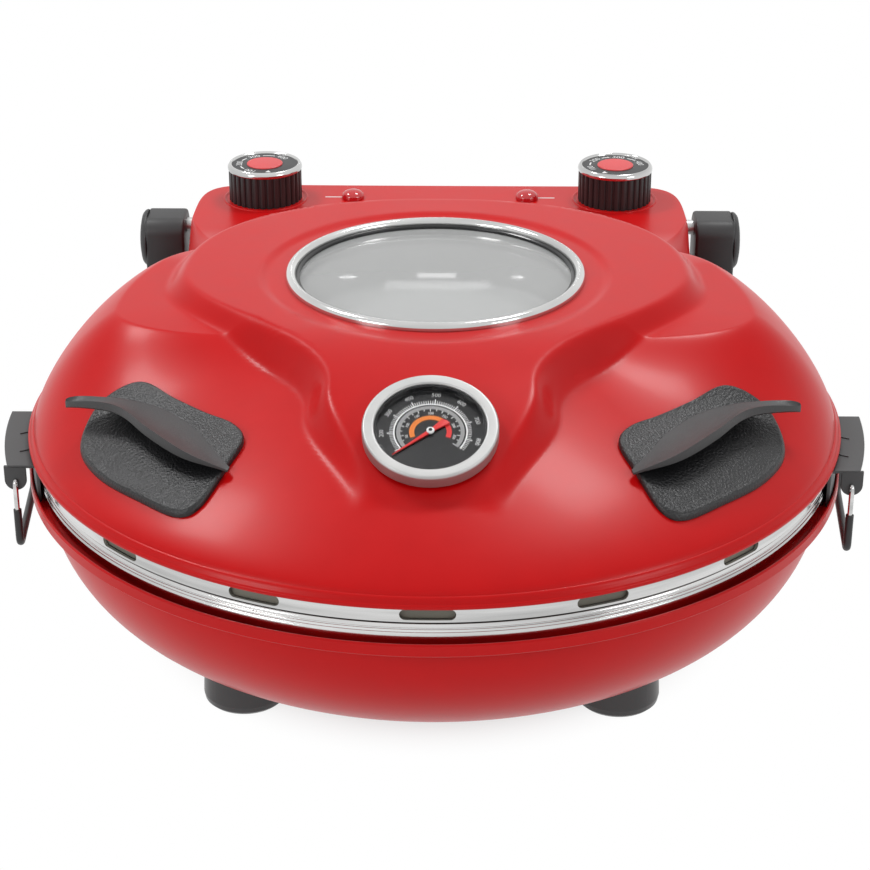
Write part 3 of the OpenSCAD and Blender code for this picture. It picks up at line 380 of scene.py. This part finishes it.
def lid_rings():
    """Closed loops over the lid's outside, down through the window's hole and back underneath."""
    a = np.arange(480) * 2 * math.pi / 480
    reach, (_, length, _, lip) = lid_reach(a), lid_shape(a)
    hole = WIN_R - 4.0
    inner = np.minimum(length, reach - hole - 8)
    outer = []
    for inset, z in ((1.0, 0.0), (0.3, 0.1), (0.0, 0.5), (0.0, 1.6), (0.25, 2.0), (0.75, 2.2), (0.95, 2.5),
                     (1.35, 3.4), (2.0, 4.4), (2.6, 4.95), (2.95, 4.95)):
        outer.append((reach - inset * lip / 3, np.full_like(a, z)))
    for u in np.concatenate([np.linspace(0.004, 0.12, 12), np.linspace(0.14, 1, 46)]):
        rho = reach - lip - u * inner
        outer.append((rho, lid_height(a, rho)))
    foot = reach - lip - inner
    for v in np.linspace(0, 1, 64)[1:]:
        rho = mix(foot, hole, v)
        outer.append((rho, lid_height(a, rho)))
    under = [(reach - LID_WALL, np.zeros_like(a)), (reach - LID_WALL - 1.8, np.full_like(a, 2.6))]
    for u in np.linspace(0.06, 1, 20):
        rho = reach - lip - u * inner
        under.append((rho - 1.6 * (1 - u) ** 2, lid_height(a, rho) - LID_WALL * (0.6 + 0.4 * u)))
    for v in np.linspace(0, 1, 20)[1:]:
        rho = mix(foot, hole, v)
        under.append((rho, lid_height(a, rho) - LID_WALL))
    return a, outer + under[::-1]


def make_lid():
    a, rings = lid_rings()
    n, m = len(a), len(rings)
    verts = [(float(r[j] * math.cos(a[j])), float(WIN_Y + r[j] * math.sin(a[j])), float(RIM + z[j]))
             for r, z in rings for j in range(n)]
    piece("lid_dome", verts, closed_faces(m, n), RED, "lid", ["lid_shell"], angle=48)
    for s, side in ((-1, "left"), (1, "right")):
        lathe("knob_seat_" + side,
              [(19.0, -1.0), (22.9, -1.0), (22.9, 0.2), (22.2, 0.45), (21.3, 0.2), (20.6, -0.5),
               (19.0, -0.5)],
              RED, "lid", place=shift(s * KNOB_X, KNOB_Y, PANEL), radius=0.25)


make_lid()

# ------------------------------------------------------------- base and rings

BASE_FLAT = BOWL_R - BOWL_ROUND


def quarter(radius, steps=28):
    return [(BASE_FLAT + radius * math.sin(t), BOWL_TOP - radius * math.cos(t))
            for t in (math.pi / 2 * k / steps for k in range(steps + 1))]


wall = quarter(BOWL_ROUND)[:-1] + [
    (BOWL_R, LIP_Z - 0.6), (BOWL_R + 0.6, LIP_Z), (189.7, LIP_Z), (LEDGE_R, LIP_Z + 0.8),
    (LEDGE_R, LIP_Z + 5.3), (189.9, LIP_Z + 6), (189.4, LIP_Z + 5.9), (LEDGE_R - BOWL_WALL, LIP_Z + 5.3),
    (LEDGE_R - BOWL_WALL, LIP_Z + BOWL_WALL), (BOWL_R - BOWL_WALL, LIP_Z + BOWL_WALL)]
lathe("bowl", [(0, FOOT_H)] + wall + quarter(BOWL_ROUND - BOWL_WALL)[::-1] + [(0, FOOT_H + BOWL_WALL)],
      RED, "base", ["base_bowl"], n=256, radius=0)
lathe("pan", [(0, 46.5), (146, 46.5), (146, 74.5), (163, 74.5), (167, 86), (184.9, 86), (184.9, 87),
              (166, 87), (162, 75.5), (145, 75.5), (145, 47.5), (0, 47.5)],
      ALUM, "base", ["inner_pan"], radius=1.6)
lathe("trim_band", [(185.0, 77.3), (TRIM_R, 77.3), (TRIM_R, 83.9), (185.75, 84.35), (185.75, 84.7),
                    (186.1, 84.9), (186.1, 86.0), (185.5, 86.3), (185.5, 86.6), (185.85, 86.8),
                    (185.85, 87.7), (185.2, TRIM_TOP), (177, TRIM_TOP), (177, 87.2), (185.0, 87.2)],
      CHROME, "base", ["base_trim_ring"], n=256, radius=0.25)


def vent_ring():
    """The band under the lid, with round-ended slots cut through it."""
    outer, inner, low, high = TRIM_R, 185.0, RIM - VENT_H, RIM
    mid, half, length, count = low + VENT_H / 2 - 0.3, 2.4, 23.0, 16
    straight = length / 2 - half
    round_end = [straight + half * math.sin(t) for t in (math.pi / 2 * k / 7 for k in range(8))]
    marks = sorted([-s for s in round_end] + [0.0, -straight / 2, straight / 2] + round_end)
    pitch = 2 * math.pi * outer / count
    rest = [length / 2 + (pitch - length) * k / 14 for k in range(1, 14)]

    def opening(s):
        """Half the slot's height at a distance from its middle."""
        return half if abs(s) < straight else math.sqrt(max(0.0, half ** 2 - (abs(s) - straight) ** 2))

    slot = [(s, opening(s)) for s in marks] + [(s, 0.0) for s in rest]
    columns = [(i * pitch + s, h) for i in range(count) for s, h in slot]
    verts, faces = [], []
    for s, h in columns:
        t = s / outer - math.pi / 2
        for r in (outer, inner):
            verts += [(r * math.cos(t), r * math.sin(t), z) for z in (low, mid - h, mid + h, high)]
    n = len(columns)
    for i in range(n):
        p, q = i * 8, ((i + 1) % n) * 8
        faces += [(p, q, q + 1, p + 1), (p + 2, q + 2, q + 3, p + 3), (p + 5, q + 5, q + 4, p + 4),
                  (p + 7, q + 7, q + 6, p + 6), (p + 4, q + 4, q, p), (p + 3, q + 3, q + 7, p + 7)]
        if columns[i][1] + columns[(i + 1) % n][1] > 0:
            faces += [(p + 1, q + 1, q + 5, p + 5), (p + 6, q + 6, q + 2, p + 2)]
    piece("vent_band", verts, faces, CHROME, "lid", ["lid_vent_ring"])


vent_ring()
# A thin ring just inside the slots, coloured as painted shade of the inside behind them
lathe("slot_shade_backing", [(183.6, 90.6), (184.3, 90.6), (184.3, 99.1), (183.6, 99.1)],
      SLOT_SHADE, "lid", n=256, radius=0.1)
lathe("stone_disc", [(0, 75.8), (158, 75.8), (158, 86.5), (0, 86.5)],
      STONE, "stone", ["baking_stone"], radius=1.6)

# ------------------------------------------------------------------- window

at_glass = shift(0, WIN_Y, CROWN - 1.2)
half_round = [(68.5 + 2.5 * math.cos(math.radians(t)), 1.2 + 2.3 * math.sin(math.radians(t)))
              for t in range(0, 181, 12)]
lathe("window_ring", [(64, -6.5), (66.9, -6.5), (66.9, 0.1), (71, 0.1)] + half_round + [(66, -5), (64, -5)],
      CHROME, "lid", ["window_bezel"], place=at_glass, n=256, radius=0)
lathe("window_gasket", [(64.4, -1.0), (65.95, -1.0), (65.95, 0.6), (65.2, 0.9), (64.4, 0.3)], GLOSS, "lid",
      place=at_glass, n=256, radius=0.2)
lathe("window_pane", [(0, -4.9), (65.9, -4.9), (65.9, -1.1), (0, -1.1)], PANE, "lid", ["window_glass"],
      place=at_glass, n=192, radius=0.4)

# -------------------------------------------------------------- thermometer

lathe("thermometer_ring", [(0, -6.5), (GAUGE_R, -6.5), (GAUGE_R, -0.9), (28.3, -0.1), (27.7, 0),
                           (24.3, 0), (23.7, -0.5), (23.7, -5.6), (0, -5.6)],
      RING, "lid", ["thermometer_case"], place=GAUGE, radius=0.5)
lathe("thermometer_neck", [(0, -12.5), (25.4, -12.5), (25.4, -6.4), (0, -6.4)], SATIN, "lid", place=GAUGE)
lathe("thermometer_probe", [(0, -46.5), (3, -46.5), (3, -12.4), (0, -12.4)], SATIN, "lid", place=GAUGE, n=32)
lathe("thermometer_face", [(0, -5.7), (23.6, -5.7), (23.6, -1.2), (22.9, -1.2), (22.9, DIAL_Z + 0.2),
                           (0, DIAL_Z)], GLOSS, "lid", ["thermometer_dial"], place=GAUGE, radius=0.1)
lathe("thermometer_glass", [(0, -1.1), (23.6, -1.1), (23.6, -0.5), (0, -0.5)],
      COVER, "lid", ["thermometer_lens"], place=GAUGE, radius=0.15)

on_dial = GAUGE @ shift(0, 0, DIAL_Z + 0.24)
white, grey, orange, red = Print(), Print(), Print(), Print()
# Each scale's marks lie between -SWEEP and SWEEP degrees from the top of the dial
SWEEP = 126
for k in range(77):
    white.tick(15.7, 17.4 if k % 10 else 18.3, -SWEEP + 3.3 * k, 0.26 if k % 10 else 0.44)
white.arc(15.1, 15.7, -SWEEP, SWEEP, 96)
for k in range(7):
    white.number(str(100 * (k + 2)), 20.6, -93 + 33 * k, 2.7)
grey.arc(12.7, 14.4, -SWEEP, SWEEP, 96)
for k in range(21):
    white.tick(11.9 if k % 2 else 11.4, 12.7, -SWEEP + 12.5 * k, 0.3)
for k in range(7):
    white.number(str(50 * (k + 1)), 10.3, -105 + 35 * k, 1.7)
orange.arc(6.8, 9.0, -112, 45)
red.arc(6.8, 9.0, 49, 112)
white.make("dial_scale", WHITE, "lid", on_dial)
grey.make("dial_band", SILVERY, "lid", on_dial)
orange.make("dial_arc_low", ORANGE, "lid", on_dial)
red.make("dial_arc_high", POINTER, "lid", on_dial)
needle = [(-8.9, -0.2), (-8.0, -2.0), (-2, -1.0), (20.4, -0.16), (20.7, 0), (20.4, 0.16), (-2, 1.0),
          (-9.2, 1.9)]
prism("needle", needle, 0.6, 1.1, POINTER, "pointer", ["thermometer_pointer"],
      place=GAUGE @ shift(0, 0, DIAL_Z) @ Matrix.Rotation(math.radians(220), 4, "Z"), bevel=0.08)
lathe("needle_hub", [(0, 0.7), (1.7, 0.7), (1.7, 1.5), (0.8, 1.7), (0, 1.5)], WHITE, "pointer",
      place=GAUGE @ shift(0, 0, DIAL_Z), n=48, radius=0.1)
lathe("needle_axle", [(0, -3), (0.8, -3), (0.8, 1.9), (0, 1.9)], GLOSS, "pointer",
      place=GAUGE @ shift(0, 0, DIAL_Z), n=32, radius=0.1)

# ------------------------------------------------------------------ handles

# The grip's rear and front edges carry a share of the grip's full height as a third value
PLATE_LINE = [(-46, 12), (-40, 21), (-16, 23.3), (10, 23), (33, 17), (44, 6), (47, -7),
              (38, -21), (17, -23.5), (-4, -25.5), (-20, -27), (-32, -23), (-39, -8)]
GRIP_BACK = [(-42, -7, 0), (-26, -10.5, 0), (-8, -15, 0), (13, -15.5, 0.01),
             (29, -11, 0.08), (41, -0.5, 0.50), (52, 10, 0.98)]
GRIP_FRONT = [(-43, -5, 0.03), (-37, 0.5, 0.38), (-29, 5, 0.68), (-19, 7, 0.88),
              (-2, 7, 1), (22, 5.5, 1.02), (50, 12.5, 0.98)]


def spline(p0, p1, p2, p3, t):
    p0, p1, p2, p3 = (np.array(p, float) for p in (p0, p1, p2, p3))
    return 0.5 * (2 * p1 + (p2 - p0) * t + (2 * p0 - 5 * p1 + 4 * p2 - p3) * t ** 2
                  + (3 * p1 - p0 - 3 * p2 + p3) * t ** 3)


def on_loop(pts, t):
    i, n = int(t), len(pts)
    return spline(pts[i - 1], pts[i % n], pts[(i + 1) % n], pts[(i + 2) % n], t - i)


def on_curve(pts, t):
    n = len(pts)
    i = min(int(t), n - 2)
    return spline(pts[max(i - 1, 0)], pts[i], pts[i + 1], pts[min(i + 2, n - 1)], t - i)


def on_handle(p, q, h):
    """A point of a handle's own plane, at a height over the lid."""
    c, s = math.cos(HANDLE_TURN), math.sin(HANDLE_TURN)
    x, y = HANDLE_X + p * c - q * s, HANDLE_Y + p * s + q * c
    return (x, y, over_lid(x, y) + h)


def make_handle(side, name):
    def flip(v):
        return (v[0] * side, v[1], v[2])

    line = [on_loop(PLATE_LINE, k / 12) for k in range(12 * len(PLATE_LINE))]
    levels = [(1.0, 0.3), (1.0, 1.4), (0.995, 2.1), (0.985, 2.7), (0.97, 3.1), (0.955, 3.2), (0.94, 3.1)]
    levels += [(k, 2.95) for k in (0.85, 0.75, 0.65, 0.55, 0.45, 0.35, 0.25, 0.15, 0.002)]
    levels += [(k, 0.3) for k in (0.002, 0.3, 0.6, 0.85)]
    verts = [flip(on_handle(p[0] * k, p[1] * k, h)) for k, h in levels for p in line]
    piece("handle_plate_" + name, verts, closed_faces(len(levels), len(line)), LEATHER, "lid",
          ["handle_" + name], angle=50)

    across, steps = 14, 72
    shares = [k / across for k in range(across + 1)]
    sections = []
    for i in range(steps + 1):
        t = i * 6 / steps
        b, f = on_curve(GRIP_BACK, t), on_curve(GRIP_FRONT, t)
        sag = 1.6 * float(ease(f[2]))
        b, f = (np.array(on_handle(e[0], e[1], mix(3.5, 18, max(0, e[2])))) for e in (b, f))
        round_tip = math.sqrt(max(0.06, 1 - max(0, (t - 5.55) / 0.45) ** 2))
        b, f = mix((b + f) / 2, b, round_tip), mix((b + f) / 2, f, round_tip)
        top = [b + (f - b) * u - np.array([0, 0, 4 * sag * u * (1 - u)]) for u in shares]
        thick = 1.1 * sag * float(ease((6 - t) / 2.5))
        blade = mix(1.0, 3.2, ease(t / 4)) - 1.0 * ease((t - 5.3) / 0.7)
        low = [v - np.array([0, 0, blade + thick * u ** 4]) for v, u in zip(top, shares)]
        sections.append([flip(v) for v in top] + [flip(v) for v in low[::-1]])
    m = len(sections[0])
    verts = [v for s in sections for v in s]
    faces = [(i * m + j, i * m + (j + 1) % m, (i + 1) * m + (j + 1) % m, (i + 1) * m + j)
             for i in range(steps) for j in range(m)]
    faces += [(b + k, b + k + 1, b + m - 2 - k, b + m - 1 - k) for b in (0, steps * m) for k in range(across)]
    piece("handle_grip_" + name, verts, faces, GREY, "lid", angle=40, bevel=0.7)


make_handle(1, "left")
make_handle(-1, "right")

# ----------------------------------------------------------------- controls


def make_knob(side, name, numbers):
    body = "knob_" + name
    at = shift(side * KNOB_X, KNOB_Y, PANEL)
    ribs, outline = 32, []
    for i in range(ribs):
        for c, r in ((-0.5, 18.55), (-0.4, 18.6), (-0.33, 19.2), (-0.22, 19.5), (0, KNOB_R), (0.22, 19.5),
                     (0.33, 19.2), (0.4, 18.6)):
            t = (i + c) * 2 * math.pi / ribs
            outline.append((r * math.cos(t), r * math.sin(t)))
    prism(body + "_grip", outline, -0.4, KNOB_H - 3.4, BLACK, body, [body.replace("knob_", "knob_body_")], at,
          bevel=0, angle=50)
    lathe(body + "_shaft", [(0, -18), (3, -18), (3, 0), (0, 0)], SATIN, body, place=at, n=32)
    lathe(body + "_ring", [(17.2, 16.7), (19.7, 16.7), (19.95, 17.2), (19.95, 18.3), (19.7, 18.9),
                           (19.0, 19.9), (18.4, 20.1), (17.8, 19.8), (17.2, 18.4)],
          CHROME, body, ["knob_ring_" + name], at, radius=0.3)
    lathe(body + "_face", [(0, 16.7), (17.6, 16.7), (17.6, 19.1), (0, 19.1)],
          BLACK, body, ["knob_dial_" + name], at, radius=0.1)
    lathe(body + "_centre", [(0, 19.0), (9.6, 19.0), (9.6, 19.5), (9.2, 19.75), (0, 19.85)],
          CENTRE, body, place=at, n=96, radius=0.12)
    marks, mark_r = Print(), 13.5
    for text, centre in numbers:
        marks.number(text, mark_r, centre, 4.6)
    for (_, a), (_, b) in zip(numbers, numbers[1:]):
        if b - a > 45:
            marks.arc(13.1, 13.9, a + 21, b - 21, 16)
    off = math.radians(numbers[0][1] - 42)
    marks.add([(mark_r * math.sin(off) + dx, mark_r * math.cos(off) + dy)
               for dx, dy in ((-1.6, -1.2), (1.6, -1.2), (0, 1.9))])
    marks.make(body + "_marks", WHITE, body, at @ shift(0, 0, 19.16))


make_knob(-1, "left", [("100", -150), ("200", -90), ("300", -30), ("400", 40)])
make_knob(1, "right", [("100", -110), ("200", -50), ("300", 10), ("400", 75)])

for s, name in ((-1, "left"), (1, "right")):
    dome = [(6.0 * math.sin(t), 1.2 + 3.5 * math.cos(t))
            for t in (math.pi / 2 * k / 12 for k in range(12, -1, -1))]
    lathe("lamp_dome_" + name, [(0, -7), (4, -7), (4, 0.1), (6.0, 0.1)] + dome, LENS, "lid", ["lamp_" + name],
          place=shift(s * 47, KNOB_Y, PANEL), n=64, radius=0)

for s, name in ((-1, "left"), (1, "right")):
    leader = Print()
    leader.add([(53.2 * s, 191.0), (62.0 * s, 191.0), (62.0 * s, 192.1), (53.2 * s, 192.1)])
    leader.make("lamp_leader_" + name, WHITE, "lid", shift(0, 0, PANEL + 0.06))

# ------------------------------------------------------- hinges and brackets


def make_tower(side, name):
    line = [(98, 51.2), (150, 51.2), (207, RIM - 14), (207, RIM + 24), (201, RIM + 30), (181, RIM + 30),
            (176, RIM + 25), (176, 94), (168, 86), (98, 86)]
    turn = Matrix(((0, 0, side, 0), (1, 0, 0, 0), (0, 1, 0, 0), (0, 0, 0, 1)))
    prism("hinge_block_" + name, round_outline(line, 5), TOWER_X, TOWER_X + TOWER_W, BLOCK, "base",
          ["hinge_tower_" + name], place=turn, bevel=1.6)
    lathe("hinge_cap_" + name, [(0, 0), (15.5, 0), (15.2, 1.4), (13.4, 3.0), (9.0, 3.9), (0, 4.2)],
          BLOCK, "base", n=96, radius=0.8,
          place=turn @ shift(HINGE_Y - 4, HINGE_Z - 6, TOWER_X + TOWER_W - 0.4))


def make_bracket(side, name):
    def flip(x, y, z):
        return (x * side, y, z)

    (y0, y1), outer, inner, z = BRACKET_Y, 201.0, 187.2, RIM - 3
    spans = [y0 + (y1 - y0) * k / 24 for k in range(25)]
    line = [(-math.sqrt(outer ** 2 - y * y), y) for y in spans] + \
           [(-math.sqrt(inner ** 2 - y * y), y) for y in spans[::-1]]
    mirror = Matrix.Scale(side, 4, (1, 0, 0))
    prism("bracket_plate_" + name, line, z, z + 1.5, PLATE, "base", ["side_bracket_" + name],
          place=mirror, bevel=0.35)
    wall_line = [(-math.sqrt((inner + 1.5) ** 2 - y * y), y) for y in spans] + \
                [(-math.sqrt(inner ** 2 - y * y), y) for y in spans[::-1]]
    prism("bracket_wall_" + name, wall_line, 77.3, z + 0.7, PLATE, "base", place=mirror, bevel=0.3)
    for tag, x, y in (("front", LUG_X[0], y0 + 0.75), ("rear", LUG_X[1], y1 - 0.75)):
        ends = [(x + 5 * math.cos(t), BAIL_Z + 5 * math.sin(t))
                for t in (math.pi + math.pi * k / 16 for k in range(17))]
        lug = ends + [(x + 5, z + 1.0), (x - 5, z + 1.0)]
        turn = mirror @ shift(0, y, 0) @ Matrix.Rotation(math.radians(90), 4, "X")
        prism("bracket_lug_%s_%s" % (tag, name), lug, -0.75, 0.75, PLATE, "base", place=turn, bevel=0.3)
    # Thin black rods laid along two arcs on the plate: painted shadow lines that trace the rear edge and one
    # end of two oblong shapes pressed in it
    for k, y in enumerate((-40.0, -21.0)):
        x = -math.sqrt(inner ** 2 - y * y)
        path = [flip(x - 6.5 + 6.3 * math.sin(t), y - 3.2 + 3.2 * math.sin(t) + 1.2 * (1 - math.cos(t)),
                     z + 1.55) for t in (math.pi / 2 * j / 10 for j in range(11))]
        tube("bracket_shadow_line_%d_%s" % (k, name), path, 0.4, GLOSS, "base", sides=8)


def make_bail(side, name):
    body = "bail_" + name
    front, rear = (Vector((x, y, BAIL_Z)) for x, y in zip(LUG_X, BRACKET_Y))
    run = (rear - front).normalized()
    a, b = front - run * 1.6, rear + run * 1.6
    low = Vector((0, 0, -32))
    path = [(p.x * side, p.y, p.z) for p in bend([a + run * 5, a, a + low, b + low, b, b - run * 5], 4.5)]
    tube("bail_rod_" + name, path, 1.2, CHROME, body, ["bail_wire_" + name])
    top = Vector((0, 0, -14))
    path = [(p.x * side, p.y, p.z) for p in bend([a + top, a + low, b + low, b + top], 4.5)]
    tube("bail_grip_" + name, path, 1.85, BLACK, body, ["bail_sleeve_" + name], sides=18)


for s, name in ((1, "right"), (-1, "left")):
    make_tower(s, name)
for s, name in ((1, "left"), (-1, "right")):
    make_bracket(s, name)
    make_bail(s, name)

# --------------------------------------------------- materials of CAD nodes

NODE_MATERIAL = {
    RUBBER: ["foot_front_left", "foot_front_right", "foot_rear_left", "foot_rear_right"],
    SATIN: ["foot_screws", "lower_element_clips", "upper_element_clips", "thermal_cutout", "hinge_pin_left",
            "hinge_pin_right", "tower_screws", "handle_screws", "thermostat_left", "thermostat_right",
            "lid_hinge_arm_left", "lid_hinge_arm_right"],
    DARK: ["lower_element", "upper_element"],
    CERAMIC: ["terminal_block"],
    BLACK: ["cord_gland", "lamp_holders", "wing_cover"],
    ALUM: ["lid_reflector"],
    SLEEVE: ["window_sleeve"],
    HAZE: ["inner_glass"],
}
for mat, names in NODE_MATERIAL.items():
    for name in names:
        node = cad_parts[name]
        for k in range(len(node.material_slots)):
            node.material_slots[k].material = mat

# -------------------------------------------------------------------- studio


def seen_as_white(nt, shader, white_factor):
    """Mix a shader with plain white light for the rays that show a background."""
    def combine(operation, a, b):
        m = nt.nodes.new("ShaderNodeMath")
        m.operation = operation
        nt.links.new(a, m.inputs[0])
        nt.links.new(b, m.inputs[1])
        return m.outputs[0]

    path = nt.nodes.new("ShaderNodeLightPath")
    most = path.outputs["Is Camera Ray"]
    for ray in ("Is Glossy Ray", "Is Transmission Ray"):
        most = combine("MAXIMUM", most, path.outputs[ray])
    if white_factor is not None:
        most = combine("MULTIPLY", most, white_factor)
    glow = nt.nodes.new("ShaderNodeBackground" if white_factor is None else "ShaderNodeEmission")
    glow.inputs["Color"].default_value = (1, 1, 1, 1)
    glow.inputs["Strength"].default_value = 1.0
    both = nt.nodes.new("ShaderNodeMixShader")
    nt.links.new(most, both.inputs["Fac"])
    nt.links.new(shader, both.inputs[1])
    nt.links.new(glow.outputs[0], both.inputs[2])
    return both.outputs[0]


# The world's light on the object, and the floor's distances in metres over which it turns white
WORLD_LIGHT, FADE_FROM, FADE_TO = 0.36, 0.06, 0.15

world = bpy.data.worlds.new("studio")
world.use_nodes = True
bpy.context.scene.world = world
soft = world.node_tree.nodes["Background"]
soft.inputs["Color"].default_value = (1, 1, 1, 1)
soft.inputs["Strength"].default_value = WORLD_LIGHT
world.node_tree.links.new(seen_as_white(world.node_tree, soft.outputs[0], None),
                          world.node_tree.nodes["World Output"].inputs["Surface"])

floor_mat = bpy.data.materials.new("floor_white")
floor_mat.use_nodes = True
nt = floor_mat.node_tree
nt.nodes["Principled BSDF"].inputs["Base Color"].default_value = (0.86, 0.86, 0.86, 1)
nt.nodes["Principled BSDF"].inputs["Roughness"].default_value = 0.7
coord = nt.nodes.new("ShaderNodeTexCoord")
far = nt.nodes.new("ShaderNodeVectorMath")
far.operation = "LENGTH"
nt.links.new(coord.outputs["Object"], far.inputs[0])
fade = nt.nodes.new("ShaderNodeMapRange")
fade.interpolation_type = "SMOOTHSTEP"
fade.inputs["From Min"].default_value = FADE_FROM
fade.inputs["From Max"].default_value = FADE_TO
nt.links.new(far.outputs["Value"], fade.inputs["Value"])
nt.links.new(seen_as_white(nt, nt.nodes["Principled BSDF"].outputs[0], fade.outputs["Result"]),
             nt.nodes["Material Output"].inputs["Surface"])
floor_mesh = bpy.data.meshes.new("floor")
floor_mesh.from_pydata([(-6, -6, 0), (6, -6, 0), (6, 6, 0), (-6, 6, 0)], [], [(0, 1, 2, 3)])
floor_mesh.materials.append(floor_mat)
floor = bpy.data.objects.new("floor", floor_mesh)
bpy.context.scene.collection.objects.link(floor)
floor.location.y = AXIS_Y * MM


def lamp(name, place, target, width, height, power):
    data = bpy.data.lights.new(name, "AREA")
    data.shape, data.size, data.size_y, data.energy = "RECTANGLE", width, height, power
    obj = bpy.data.objects.new(name, data)
    bpy.context.scene.collection.objects.link(obj)
    obj.location = (place[0], place[1] + AXIS_Y * MM, place[2])
    obj.rotation_euler = (Vector(target) - Vector(place)).to_track_quat("-Z", "Y").to_euler()
    obj.visible_camera = False


lamp("high_left", (-0.70, 0.40, 1.25), (0, 0, 0.1), 0.34, 0.24, 6)
lamp("high_right", (0.38, 0.58, 1.35), (0, 0, 0.1), 0.34, 0.24, 6)
lamp("left_front", (-1.1, -1.0, 0.75), (0, 0, 0.08), 0.5, 0.4, 5)
lamp("right_front", (1.2, -0.8, 0.8), (0, 0, 0.08), 0.5, 0.4, 4)
# Small strips behind, which the window shows as pale oblongs
lamp("strip_middle", (-0.015, 1.151, 0.591), (0.001, 0.033, 0.155), 0.056, 0.019, 0.018)
lamp("strip_left", (-0.143, 1.145, 0.591), (-0.061, 0.030, 0.155), 0.024, 0.007, 0.006)
lamp("strip_right", (0.103, 1.145, 0.592), (0.057, 0.028, 0.155), 0.014, 0.006, 0.004)
